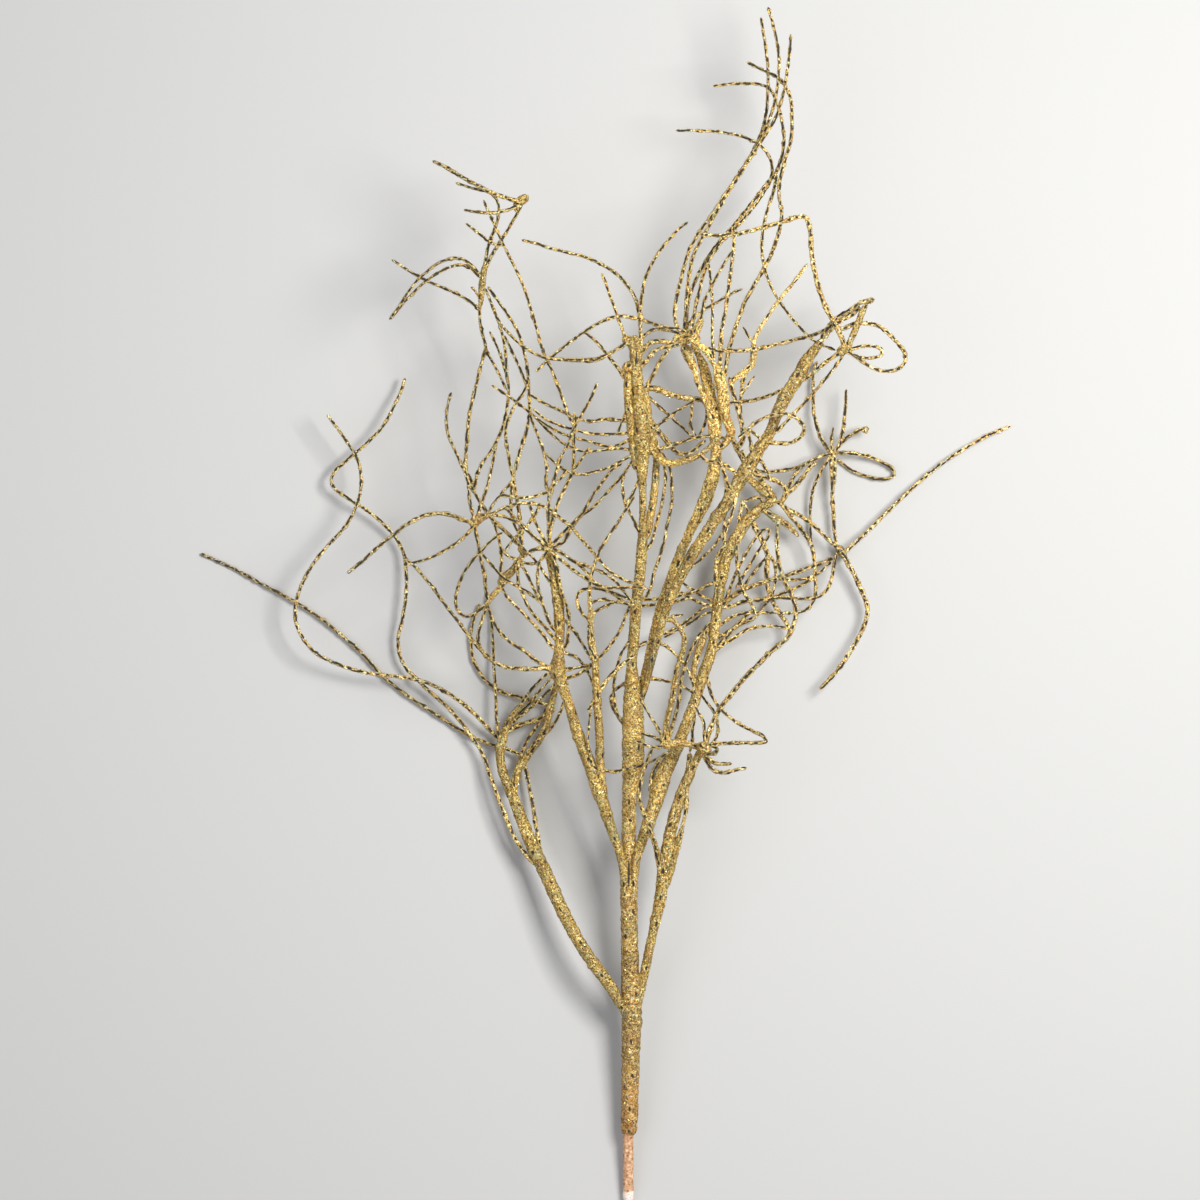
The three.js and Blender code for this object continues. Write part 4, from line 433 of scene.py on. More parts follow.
# Each branch: its wires, the slope of its own plane, the range that its twigs turn out of that
# plane, and how far its root stands off the middle of the stem.
BRANCHES = {
    "main_stem": (MAIN_STEM[1:], 0.03, (-0.3, 0.3), 0),
    "lower_left_branch": (LOWER_LEFT, -0.22, (-0.05, 0.3), 3 * MM),
    "upper_left_branch": (UPPER_LEFT, 0.14, (-0.3, 0.3), 5.5 * MM),
    "crown_branch": (CROWN, -0.06, (-0.2, 0.3), -3.2 * MM),
    "upper_right_branch": (UPPER_RIGHT, 0.24, (-0.3, 0.3), 3.2 * MM),
    "right_branch": (RIGHT, -0.2, (-0.1, 0.3), 5.5 * MM),
    "lower_right_branch": (LOWER_RIGHT, 0.3, (-0.3, 0.3), 0),
}


def spline(stations, shares):
    """Centripetal Catmull-Rom curve through the stations, at shares of its parameter from 0 to 1.

    Between two stations it is the cubic through both, whose slopes weigh the chords on either side
    by the square root of their length.
    """
    p = np.asarray(stations, float)
    padded = np.vstack([2 * p[0] - p[1], p, 2 * p[-1] - p[-2]])
    place = np.asarray(shares) * (len(p) - 1)
    i = np.minimum(place.astype(int), len(p) - 2)
    w = (place - i)[:, None]
    p0, p1, p2, p3 = (padded[i + k] for k in range(4))
    gaps = ((p0, p1), (p1, p2), (p2, p3))
    d0, d1, d2 = (np.sqrt(np.linalg.norm(b - a, axis=1))[:, None] for a, b in gaps)
    slope1 = ((p1 - p0) / d0 - (p2 - p0) / (d0 + d1) + (p2 - p1) / d1) * d1
    slope2 = ((p2 - p1) / d1 - (p3 - p1) / (d1 + d2) + (p3 - p2) / d2) * d1
    square = 3 * (p2 - p1) - 2 * slope1 - slope2
    cube = 2 * (p1 - p2) + slope1 + slope2
    return p1 + slope1 * w + square * w**2 + cube * w**3


POINT_STEP = 6 * MM              # spacing of the points that the wires are bent by
CURVE_SAMPLES = 201              # points by which a curve's length is measured
FEWEST_PIECES = 3                # of a wire


def lay(stations):
    """One wire on the sheet: evenly spaced points with the radius and the length so far at each."""
    places = [((c - SHEET_COLUMN) * SHEET_STEP, (SHEET_ROW - r) * SHEET_STEP, t)
              for c, r, t in stations]
    shares = np.linspace(0, 1, CURVE_SAMPLES)
    steps = np.linalg.norm(np.diff(spline(places, shares), axis=0), axis=1)
    lengths = np.concatenate([[0], np.cumsum(steps)])
    pieces = max(FEWEST_PIECES, int(lengths[-1] / POINT_STEP + 0.5))
    along = np.linspace(0, lengths[-1], pieces + 1)
    x, y, thickness = spline(places, np.interp(along, lengths, shares)).T
    return SimpleNamespace(x=x, y=y, radius=thickness / 2, along=along, length=lengths[-1],
                           fixed=False, resting=False, lift=0)


def nearest(wires, x, y):
    """The place on some wires nearest to a point of the sheet: the wire, the piece and the share."""
    best = (np.inf, None)
    for wire in wires:
        dx, dy = np.diff(wire.x), np.diff(wire.y)
        run = ((x - wire.x[:-1]) * dx + (y - wire.y[:-1]) * dy) / (dx**2 + dy**2)
        share = np.clip(run, 0, 1)
        off = np.hypot(wire.x[:-1] + share * dx - x, wire.y[:-1] + share * dy - y)
        piece = int(np.argmin(off))
        if off[piece] < best[0]:
            best = (off[piece], (wire, piece, share[piece]))
    return best[1]


def at(values, piece, share):
    """The value at a share of a piece, on the straight line between the piece's two ends."""
    return (1 - share) * values[piece] + share * values[piece + 1]


draws = SimpleNamespace(seed=4711)
DRAW_FACTOR, DRAW_RANGE = 16807, 2**31 - 1


def draw():
    """A small repeatable draw between 0 and 1: the seed times a factor, wrapped round a range."""
    draws.seed = draws.seed * DRAW_FACTOR % DRAW_RANGE
    return draws.seed / DRAW_RANGE


STEM_RISE = 0.125                # rise of the stem for each millimetre along it
CORE_THICKNESS = 8.5 * MM        # bare wrapped end of the stem
CORE_OUT = 48 * MM               # how far the core stands out of the sheath
ALONG_STEM = 45 * MM             # a branch follows the stem's rise this far out of its root
REACH = 150 * MM                 # length over which a slope dies out
CURL_HEIGHT = 4 * MM             # height of a twig's own waves
CURL_LENGTH = (60 * MM, 110 * MM)   # and their shortest and longest length
CURL_START = 40 * MM             # length over which the waves set in
CURL_FULL = 90 * MM              # a twig shorter than this has lower waves

stem = lay(MAIN_STEM[0])
stem.z = CORE_THICKNESS / 2 + STEM_RISE * (stem.along + CORE_OUT)
stem.fixed, stem.branch = True, "main_stem"
wires = [stem]


def place_branch(name, tables, slope, turns, offset):
    """Lays a branch. Its first wire grows from the stem and runs along it before its own slope sets
    in. Each later one grows from the nearest earlier wire of the branch. A slope dies out as a
    hyperbolic tangent, and a sine wave sets in over a later wire's first stretch.
    """
    laid = []
    for stations in tables:
        wire = lay(stations)
        first = not laid and name != "main_stem"
        u, v, w = draw(), draw(), draw()
        turn = (1 - u) * turns[0] + u * turns[1]
        wave_length = (1 - v) * CURL_LENGTH[0] + v * CURL_LENGTH[1]
        phase = 2 * np.pi * w
        holders = [stem] + laid if first or name == "main_stem" else laid
        wire.branch, wire.hold = name, nearest(holders, wire.x[0], wire.y[0])
        wire.resting = stations is FAR_LEFT_TWIG or stations is FAR_RIGHT_TWIG
        holder, piece, share = wire.hold
        if first:
            wire.lift = offset
        else:
            wire.x[0], wire.y[0] = at(holder.x, piece, share), at(holder.y, piece, share)
        wire.z = at(holder.z, piece, share) + wire.lift
        if first:
            beyond = np.maximum(0, wire.along - ALONG_STEM)
            wire.z += STEM_RISE * np.minimum(wire.along, ALONG_STEM)
            wire.z += slope * REACH * np.tanh(beyond / REACH)
        else:
            wave = CURL_HEIGHT * min(1, wire.length / CURL_FULL)
            curl = np.sin(2 * np.pi * wire.along / wave_length + phase) - np.sin(phase)
            wire.z += (slope + turn) * REACH * np.tanh(wire.along / REACH)
            wire.z += wave * curl * np.minimum(1, wire.along / CURL_START)
        laid.append(wire)
    wires.extend(laid)


for name, plan in BRANCHES.items():
    place_branch(name, *plan)

# From here the heights of all the wires are one long array, and each wire knows its slice of it.
ends = np.cumsum([len(wire.z) for wire in wires])
for wire, end in zip(wires, ends):
    wire.start = end - len(wire.z)
    wire.part = slice(wire.start, end)
heights = np.concatenate([wire.z for wire in wires])
sheet_x = np.concatenate([wire.x for wire in wires])
sheet_y = np.concatenate([wire.y for wire in wires])


def settle():
    """Tilts everything, heights only, so that the resting tips lie on the surface with the foot."""
    foot_x, foot_y = stem.x[0], stem.y[0] - CORE_OUT
    tips = [(w.x[-1] - foot_x, w.y[-1] - foot_y, heights[w.part][-1] - w.radius[-1])
            for w in wires if w.resting]
    along_x, along_y = np.linalg.solve([tip[:2] for tip in tips], [tip[2] for tip in tips])
    heights[:] -= along_x * (sheet_x - foot_x) + along_y * (sheet_y - foot_y)


CLEARANCE = 1.8 * MM             # what the wires of two branches keep between their skins
WINDOW = 30 * MM                 # pieces further apart than this can't touch
BRANCH_THICKNESS = 5 * MM        # a wire that gets thicker than this is a wrapped branch
BRANCH_GIVE = 0.15               # how readily a wrapped branch gives way, where a twig's is 1
BEND_REACH = 32 * MM             # how far to each side a bend runs out
ROOT_FADE = 16 * MM              # a twig bends freely from this far out of its root
ROOT_DRAW = 45 * MM              # how far a moved root draws its twig along
SOCKET_LENGTH = 62 * MM          # length of a branch's root that can lie in the stem
SURFACE_CLEARANCE = 2 * MM       # what all but the resting tips keep to the surface
TIP_REACH = 60 * MM              # length of a resting tip that may come lower
ROUNDS, SMOOTH_EVERY, SMOOTH_UNTIL = 200, 8, 140   # rounds of clearing, and those that smooth
UNBOUND = -1                     # a floor so low that it bounds nothing: the stem and all roots


def crossings(one, two):
    """Where two wires cross or run close on the sheet: piece and share on each, and the height
    to keep, which is the third side of the triangle on their distance and their two radii.
    """
    i, j = np.meshgrid(np.arange(len(one.x) - 1), np.arange(len(two.x) - 1), indexing="ij")
    cx, cy = two.x[j] - one.x[i], two.y[j] - one.y[i]
    close = np.maximum(abs(cx), abs(cy)) <= WINDOW
    i, j, cx, cy = i[close], j[close], cx[close], cy[close]
    ax, ay = np.diff(one.x)[i], np.diff(one.y)[i]
    bx, by = np.diff(two.x)[j], np.diff(two.y)[j]
    with np.errstate(divide="ignore", invalid="ignore"):
        u = (cx * by - cy * bx) / (ax * by - ay * bx)
        v = (cx * ay - cy * ax) / (ax * by - ay * bx)
    meet = (u >= 0) & (u <= 1) & (v >= 0) & (v <= 1)
    run = np.clip(-(cx * bx + cy * by) / (bx**2 + by**2), 0, 1)
    back = np.clip((cx * ax + cy * ay) / (ax**2 + ay**2), 0, 1)
    zero = np.zeros(len(i))
    p_share = np.stack([np.where(meet, u, 0), zero, back], 1).ravel()
    q_share = np.stack([np.where(meet, v, 0), run, zero], 1).ravel()
    valid = np.stack([meet, zero == 0, zero == 0], 1).ravel()
    p, q = np.repeat(i, 3), np.repeat(j, 3)
    flat = np.hypot(at(one.x, p, p_share) - at(two.x, q, q_share),
                    at(one.y, p, p_share) - at(two.y, q, q_share))
    keep = at(one.radius, p, p_share) + at(two.radius, q, q_share) + CLEARANCE
    valid &= flat < keep
    if two.hold[0] is one:
        valid &= at(two.along, q, q_share) > SOCKET_LENGTH
    height = np.sqrt(np.maximum(keep**2 - flat**2, 0))
    return np.stack([p, p_share, q, q_share, height], 1)[valid]


def spread(wire, piece, share):
    """How a lift at one place moves all the heights: fully there, nothing one bend reach away, and
    what the root can't take moves the wire that it grows from.
    """
    moved = np.zeros(len(heights))
    if wire.fixed:
        return moved
    s = at(wire.along, piece, share)
    freedom = np.minimum(1, wire.along / ROOT_FADE)
    moved[wire.part] = np.maximum(0, 1 - abs(wire.along - s) / BEND_REACH) * freedom
    rest = 1 - min(1, s / ROOT_FADE)
    return moved + rest * spread(*wire.hold) if rest > 0 else moved


def give(wire):
    """How readily a wire gives way."""
    if wire.fixed:
        return 0
    return BRANCH_GIVE if wire.radius.max() > BRANCH_THICKNESS / 2 else 1


def find_crossings():
    """Every place where the wires of two branches must keep apart, as the four heights that it
    compares, their weights, the height to keep, and how a lift there moves all the heights.
    """
    found = []
    for n, one in enumerate(wires):
        for two in wires[n + 1:]:
            apart = max(one.x.min() - two.x.max(), two.x.min() - one.x.max(),
                        one.y.min() - two.y.max(), two.y.min() - one.y.max())
            if one.branch == two.branch or apart > WINDOW:
                continue
            places = crossings(one, two)
            if not len(places):
                continue
            p, q = places[:, 0].astype(int), places[:, 2].astype(int)
            z1 = at(heights[one.part], p, places[:, 1])
            z2 = at(heights[two.part], q, places[:, 3])
            side = -1 if np.sum(z1 - z2) < 0 else 1
            share = give(one) / (give(one) + give(two))
            for (_, u, _, v, keep), i, j in zip(places, p, q):
                where = [one.start + i, one.start + i + 1, two.start + j, two.start + j + 1]
                weight = side * np.array([1 - u, u, v - 1, -v])
                move = side * (share * spread(one, i, u) - (1 - share) * spread(two, j, v))
                found.append((where, weight, keep, move))
    return found


def seat_roots():
    """Moves the wires' roots back to where they grow, and draws the rest of each along."""
    for wire in wires[1:]:
        holder, piece, share = wire.hold
        root = at(heights[holder.part], piece, share) + wire.lift
        heights[wire.part] += (root - heights[wire.start]) * np.exp(-wire.along / ROOT_DRAW)


def smooth():
    """Each height becomes a quarter of its two neighbours each and a half of itself."""
    for wire in wires[1:]:
        z = heights[wire.part]
        z[1:-1] = (z[:-2] + 2 * z[1:-1] + z[2:]) / 4


settle()
floor = np.concatenate([
    w.radius + np.where(w.resting & (w.along > w.length - TIP_REACH), 0, SURFACE_CLEARANCE)
    for w in wires])
floor[stem.part] = UNBOUND
for wire in wires[1:]:
    floor[wire.start] = UNBOUND
to_clear = find_crossings()
for turn in range(ROUNDS):
    for where, weight, keep, move in to_clear:
        short = keep - weight @ heights[where]
        if short > 0:
            heights += short * move
    heights = np.maximum(heights, floor)
    seat_roots()
    if turn % SMOOTH_EVERY == 0 and turn < SMOOTH_UNTIL:
        smooth()
settle()


# ---- The stem's core -----------------------------------------------------------------------------
# The bare end of the stem: bundled wire wound with paper tape, stuck with a little stray glitter
# and cut off square. It stands in the end of the sheath.
CORE_DEPTH = 26 * MM             # how far the core reaches into the sheath
CORE_SIDES, CORE_STEP = 40, 0.6 * MM
TAPE_PITCH = 9 * MM              # how far the tape climbs in a turn
TAPE_THICKNESS = 0.3 * MM
WRINKLE_HEIGHT = 0.12 * MM
WRINKLE_LENGTHS = (3.1 * MM, 7.3 * MM)   # of the wrinkles, and of the waves in which they fade
SLOT_PLACE, SLOT_LENGTH = 8 * MM, 4 * MM   # the slot near the cut end
SLOT_FACING, SLOT_WIDTH, SLOT_DEPTH = 0.5, 0.22, 1.3 * MM
EDGE_SHARE = 0.93                # size of the cut edge's ring, as a share of the core


def frame_along(centre):
    """The three directions at each point of a curve: ahead, level across it, and up from it."""
    ahead = np.gradient(centre, axis=0)
    ahead /= np.linalg.norm(ahead, axis=1)[:, None]
    across = np.cross(ahead, (0, 0, 1))
    across /= np.linalg.norm(across, axis=1)[:, None]
    return ahead, across, np.cross(across, ahead)


def rings_round(centre, off, angle):
    """Rings of points round a curve, each point its own distance off the curve at its angle. An
    angle of 0 points across the curve and a quarter turn points up.
    """
    ahead, across, up = frame_along(centre)
    turn = np.cos(angle)[..., None] * across[:, None] + np.sin(angle)[..., None] * up[:, None]
    return centre[:, None] + off[..., None] * turn


def make_mesh(name, points, loops, sizes, smooth_faces=True):
    """A mesh from points, the corners of all faces in a row, and each face's number of corners."""
    mesh = bpy.data.meshes.new(name)
    mesh.vertices.add(len(points))
    mesh.vertices.foreach_set("co", points.astype(np.float32).ravel())
    mesh.loops.add(len(loops))
    mesh.loops.foreach_set("vertex_index", loops.astype(np.int32))
    mesh.polygons.add(len(sizes))
    firsts = np.concatenate([[0], np.cumsum(sizes)[:-1]])
    mesh.polygons.foreach_set("loop_start", firsts.astype(np.int32))
    mesh.polygons.foreach_set("use_smooth", np.full(len(sizes), smooth_faces))
    mesh.update(calc_edges=True)
    mesh.validate()
    piece = bpy.data.objects.new(name, mesh)
    bpy.context.scene.collection.objects.link(piece)
    return piece


def paint(piece, tints):
    """Gives every point of a piece a tint, which its material multiplies its colours by."""
    layer = piece.data.attributes.new("tint", "FLOAT_COLOR", "POINT")
    layer.data.foreach_set("color", tints.astype(np.float32).ravel())


def skin_mesh(name, skins):
    """One mesh from several skins: four-sided faces between the rings, and a fan at each end."""
    points, tints, loops, sizes, start = [], [], [], [], 0
    for centre, rings, tint in skins:
        count, sides = rings.shape[:2]
        grid = start + np.arange(count * sides).reshape(count, sides)
        a, b = grid[:-1], np.roll(grid[:-1], -1, axis=1)
        c, d = np.roll(grid[1:], -1, axis=1), grid[1:]
        root, tip = start + count * sides, start + count * sides + 1
        fans = np.concatenate([
            np.stack([grid[0], np.full(sides, root), np.roll(grid[0], -1)], 1),
            np.stack([grid[-1], np.roll(grid[-1], -1), np.full(sides, tip)], 1)])
        points += [rings.reshape(-1, 3), centre[:1], centre[-1:]]
        tints += [tint.reshape(-1, 4), tint[0, :1], tint[-1, :1]]
        loops += [np.stack([a, d, c, b], -1).ravel(), fans.ravel()]
        sizes += [np.full(a.size, 4), np.full(len(fans), 3)]
        start += count * sides + 2
    piece = make_mesh(name, np.concatenate(points), np.concatenate(loops), np.concatenate(sizes))
    paint(piece, np.concatenate(tints))
    return piece


def core_skin():
    """The core: rings along the stem's line. The tape's edge stands off as a saw tooth that runs
    round as a helix, its wrinkles are the product of two sine waves, the slot is a bell-shaped
    dent, and the cut edge is rounded over one ring.
    """
    inside = int(CORE_DEPTH / POINT_STEP)
    foot = (stem.x[0], stem.y[0] - CORE_OUT, CORE_THICKNESS / 2)
    top = (stem.x[inside], stem.y[inside], heights[stem.start + inside])
    joint = (stem.x[0], stem.y[0], heights[stem.start])
    out = np.linspace(foot, joint, int(CORE_OUT / CORE_STEP), endpoint=False)
    centre = np.vstack([out, np.linspace(joint, top, int(CORE_DEPTH / CORE_STEP))])
    s = np.linalg.norm(centre - centre[0], axis=1)[:, None]
    angle = 2 * np.pi * np.arange(CORE_SIDES)[None] / CORE_SIDES + np.zeros_like(s)
    tape = (s / TAPE_PITCH + angle / (2 * np.pi)) % 1
    relief = TAPE_THICKNESS * (tape**3 - 0.5)
    short, long = WRINKLE_LENGTHS
    relief += WRINKLE_HEIGHT * np.sin(s / short + 2 * angle) * np.sin(s / long)
    slot = np.exp(-((s - SLOT_PLACE) / SLOT_LENGTH)**4 - ((angle - SLOT_FACING) / SLOT_WIDTH)**2)
    off = CORE_THICKNESS / 2 - TAPE_THICKNESS / 2 + relief - SLOT_DEPTH * slot
    off[0] *= EDGE_SHARE
    rings = rings_round(centre, off, angle)
    return centre, rings, np.ones((*rings.shape[:2], 4))


def new_material(name, roughness, metallic=0.0):
    """A new material with a plain shader, and its nodes, its links and the shader."""
    material = bpy.data.materials.new(name)
    material.use_nodes = True
    shader = material.node_tree.nodes["Principled BSDF"]
    shader.inputs["Roughness"].default_value = roughness
    shader.inputs["Metallic"].default_value = metallic
    return material, material.node_tree.nodes, material.node_tree.links, shader


def color_ramp(nodes, links, value, steps, flat=False):
    """A ramp through steps of position and colour, stepped where flat."""
    ramp = nodes.new("ShaderNodeValToRGB")
    ramp.color_ramp.interpolation = "CONSTANT" if flat else "LINEAR"
    elements = ramp.color_ramp.elements
    for element, (position, color) in zip(elements, steps):
        element.position, element.color = position, (*color, 1)
    for position, color in steps[2:]:
        elements.new(position).color = (*color, 1)
    links.new(value, ramp.inputs["Fac"])
    return ramp.outputs["Color"]


def noise(nodes, links, place, scale, detail=3.0):
    """Noise over the object's own space, where scale is the size of its lumps in metres."""
    texture = nodes.new("ShaderNodeTexNoise")
    texture.inputs["Scale"].default_value = 1 / scale
    texture.inputs["Detail"].default_value = detail
    links.new(place, texture.inputs["Vector"])
    return texture.outputs["Fac"]


def mixed(nodes, links, factor, first, second, blend="MIX"):
    """Two colours, mixed by a factor. Each is a socket or a plain colour."""
    mix = nodes.new("ShaderNodeMix")
    mix.data_type, mix.blend_type = "RGBA", blend
    for socket, value in (("Factor_Float", factor), ("A_Color", first), ("B_Color", second)):
        target = next(i for i in mix.inputs if i.identifier == socket)
        if isinstance(value, float):
            target.default_value = value
        elif isinstance(value, tuple):
            target.default_value = (*value, 1)
        else:
            links.new(value, target)
    return next(o for o in mix.outputs if o.identifier == "Result_Color")


def bumped(nodes, links, shader, height, distance):
    """Raises a shader's surface by a height of 0 to 1 times a distance."""
    bump = nodes.new("ShaderNodeBump")
    bump.inputs["Distance"].default_value = distance
    links.new(height, bump.inputs["Height"])
    links.new(bump.outputs["Normal"], shader.inputs["Normal"])


def carried(nodes, name):
    """The outputs of a value that the mesh carries at its points."""
    attribute = nodes.new("ShaderNodeAttribute")
    attribute.attribute_name = name
    return attribute.outputs


# The tape's colours, each from its place on the scale of its flecks.
TAPE_COLORS = [
    (0.30, (0.200, 0.080, 0.035)),
    (0.42, (0.480, 0.240, 0.125)),
    (0.52, (0.600, 0.335, 0.190)),
    (0.62, (0.710, 0.480, 0.300)),
    (0.74, (0.860, 0.710, 0.500)),
]
TAPE_ROUGHNESS = 0.7
FLECK_SIZE, FLECK_DETAIL, FLECK_HEIGHT = 2.4 * MM, 4.0, 0.5 * MM
BARE_TIP = (0.87, 0.73, 0.66)
BARE_LENGTH, BARE_FADE = 9 * MM, 1.5 * MM
RAGGED_BY, RAGGED_SIZE = 9 * MM, 6 * MM   # how far the tape's end runs up and down, and how often


def paper_tape():
    """Crinkled paper tape: pinkish tan with brown and cream flecks, and pale at the very end."""
    material, nodes, links, shader = new_material("paper_tape", TAPE_ROUGHNESS)
    place = nodes.new("ShaderNodeTexCoord").outputs["Object"]
    flecks = noise(nodes, links, place, FLECK_SIZE, FLECK_DETAIL)
    tape = color_ramp(nodes, links, flecks, TAPE_COLORS)
    split = nodes.new("ShaderNodeSeparateXYZ")
    links.new(place, split.inputs["Vector"])
    ragged = nodes.new("ShaderNodeMath")
    ragged.operation = "MULTIPLY_ADD"
    ragged.inputs[1].default_value = RAGGED_BY
    links.new(noise(nodes, links, place, RAGGED_SIZE), ragged.inputs[0])
    links.new(split.outputs["Y"], ragged.inputs[2])
    end = nodes.new("ShaderNodeMapRange")
    foot = stem.y[0] - CORE_OUT
    end.inputs["From Min"].default_value = foot + BARE_LENGTH + BARE_FADE
    end.inputs["From Max"].default_value = foot + BARE_LENGTH
    links.new(ragged.outputs["Value"], end.inputs["Value"])
    links.new(mixed(nodes, links, end.outputs["Result"], tape, BARE_TIP),
              shader.inputs["Base Color"])
    bumped(nodes, links, shader, flecks, FLECK_HEIGHT)
    return material


def dress(piece, material, slot, *nodes):
    """Gives a piece its material and its body, and hides the nodes that it stands for. The slot is
    not used.
    """
    piece.data.materials.append(material)
    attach(piece, "root")
    if nodes:
        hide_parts(*nodes)


core = core_skin()
dress(skin_mesh("wound_core", [core]), paper_tape(), "stem_tape", "stem_core")


# ---- The wrapping of the stem and the branches ---------------------------------------------------
# Each wire is wrapped in tape and rolled in glitter, so its skin is round but lumpy, with buds on
# the twigs and blobs of glue on the branches. A wrapped branch starts as one smooth wrap; further
# up its wires show through as ridges that turn slowly round it.
rng = np.random.default_rng(5)
RING_STEP, FEWEST_RINGS = 1.25 * MM, 6
TWIG_SIDES, BRANCH_SIDES = 10, 24
TWIG_LUMPS, WRAP_LUMPS = 0.07, 0.025   # height of the lumps, as a share of the radius
LUMP_LENGTHS, LUMP_TURNS = (5.5 * MM, 9 * MM, 17 * MM), (0, 3)
GLITTER_THICKNESS = (0.38 * MM, 0.2 * MM)   # left for it off the radius of a twig and of a wrap
ROOT_TAPER = 14 * MM             # length over which a wrapped branch swells out of the stem
ROOT_SHARE = 0.5                 # from this share of its radius
END_SQUARE = 0.02                # square of an end ring's size, as a share of the radius
FRONT = np.pi / 2                # the angle round a wire that faces the front

BUD_FIRST = (4 * MM, 14 * MM)    # place of a wire's first bud
BUD_SPACING = (6 * MM, 20 * MM)  # spacing of the buds on a twig
BLOB_SPACING = (22 * MM, 70 * MM)   # and of the blobs on a branch
BUD_HEIGHT = (0.35 * MM, 1.0 * MM)
BUD_WIDTH = (1.1 * MM, 2.2 * MM)
BUD_BACK = 0.2                   # what is left of a bud at the back, as a share of its height
BUD_END = 2 * MM                 # length at the end of a wire that has no buds

RIDGES, RIDGE_FRONT = (3, 6), (0.3, 0.7)   # number, and share of the length where one is in front
RIDGE_DEPTH = 0.36               # depth of the furrows between them, as a share of the radius
RIDGE_SWAY, SWAY_LENGTHS = 0.3, (19 * MM, 31 * MM)   # how far they wander, and how often
SWAY_PHASES = (0, 6.3)           # about a full turn
FURROW_SHADE = 0.95               # share of painted shade, as dark as bark, in the deepest furrows
RIDGES_GROW = 35 * MM            # length over which the ridges come out of the wrap
TWIST = 480 * MM                 # length in which the ridges turn once round

PIT_SPACING = (3 * MM, 8 * MM)   # pits in a twig's glitter, through which its bark shows
HOLE_SPACING = (14 * MM, 45 * MM)   # and in a branch's
PIT_LENGTH = (1.0 * MM, 2.3 * MM)
PIT_WIDTH = 0.86 * MM
PIT_DEPTH = 0.5 * MM
PIT_BARK = 1.9                   # over 1, so that the whole middle of a pit is bark
PIT_FACING = 0.45                # spread of the pits round the front

SEAM_ROW, SEAM_ROWS = 872, 15    # the seam between the two branches of the upper fork, painted dark as shade
SEAM_WIDTH, SEAM_SHADE = 0.8 * MM, 1.3

# The row above which each branch's ridges show.
WRAP_ENDS = {
    "main_stem": 400, "lower_left_branch": 850, "upper_left_branch": 665, "crown_branch": 590,
    "upper_right_branch": 590, "right_branch": 660, "lower_right_branch": 900,
}

# Tints by thickness, and of the sheath from its foot up, as a share of the film's own colours:
# thick strands are darker and warmer than twigs, and the sheath is redder near its foot.
TWIG_TINT, TWIG_RADIUS = np.array((0.71, 0.73, 0.74)), 1.6 * MM
WRAP_TINT, WRAP_RADIUS = np.array((0.63, 0.62, 0.52)), 3.0 * MM
SHEATH_ROWS = (1120, 1060, 860, 825, 700, 660)
SHEATH_TINTS = np.array([(0.71, 0.57, 0.47), (0.60, 0.55, 0.47), (0.67, 0.62, 0.52),
                         (0.82, 0.78, 0.65), (0.84, 0.81, 0.66), (0.60, 0.59, 0.48)])
SPECKLE, SPECKLE_CAST = 0.24, np.array((1, 1.1, 1.3))   # grain of the glitter's colour
DARKEST = 0.05                   # the tint of the darkest grain
PATCHES = 0.07                   # how much paler or darker patches along a wire are
PATCH_LENGTHS = (23 * MM, 41 * MM, 67 * MM)
TWIG_SPREAD = 0.07               # and how much one twig differs from the next

# How much paler or darker the twigs and the wraps of each branch are, which is partly painted light:
# the crown's wraps are made paler against the shadow that the upper right branch casts on them. Below
# it, painted light and shade along x on all wires but the stem's own: darker and bluer at the far
# left, brightest at the far right.
BRANCH_TINTS_AND_LIGHT = {
    "main_stem": (1.0, 1.0), "lower_left_branch": (1.08, 0.87), "upper_left_branch": (1.02, 0.94),
    "crown_branch": (1.15, 1.50), "upper_right_branch": (1.23, 0.87), "right_branch": (1.08, 1.0),
    "lower_right_branch": (0.96, 1.0),
}
PAINTED_LIGHT_PLACES = (-300 * MM, -200 * MM, -130 * MM, -60 * MM, 170 * MM, 240 * MM, 300 * MM)
PAINTED_LIGHT_ACROSS = np.array([(0.70, 0.74, 0.95), (1.04, 1.06, 1.15), (0.86, 0.86, 0.90), (1.14, 1.12, 1.05),
                  (1.02, 1.00, 1.00), (1.08, 1.10, 1.25), (1.80, 1.75, 1.95)])


def bell(distance, width):
    """A bell curve: 1 at no distance and about a third at one width."""
    return np.exp(-(distance / width)**2)


def apart(angle, facing):
    """The angle between two directions round a wire, from 0 to half a turn."""
    return abs((angle - facing + np.pi) % (2 * np.pi) - np.pi)


def skin_grid(wire):
    """The grid of a wire's skin. Its rings are evenly spaced on the curve through the wire's points
    and hold the centre, the radius, the length so far and the sheet's row; its columns hold the angle
    round the wire. The relief and the share of bark and painted shade at each point start at nought.
    """
    thick = wire.radius.max() > BRANCH_THICKNESS / 2
    sides = BRANCH_SIDES if thick else TWIG_SIDES
    count = max(FEWEST_RINGS, int(wire.length / RING_STEP))
    points = np.column_stack([wire.x, wire.y, heights[wire.part], wire.radius])
    even = np.linspace(0, 1, count)
    centre, radius = np.split(spline(points, even), [3], axis=1)
    s = even[:, None] * wire.length
    radius = radius - GLITTER_THICKNESS[int(thick)]
    if wire.lift:
        radius = radius * np.minimum(1, ROOT_SHARE + (1 - ROOT_SHARE) * s / ROOT_TAPER)
    return SimpleNamespace(
        thick=thick, centre=centre, radius=radius, s=s,
        rows=SHEET_ROW - centre[:, 1:2] / SHEET_STEP,
        angle=2 * np.pi * np.arange(sides)[None] / sides,
        relief=np.zeros((count, sides)), bark_and_shade=np.zeros((count, sides)))


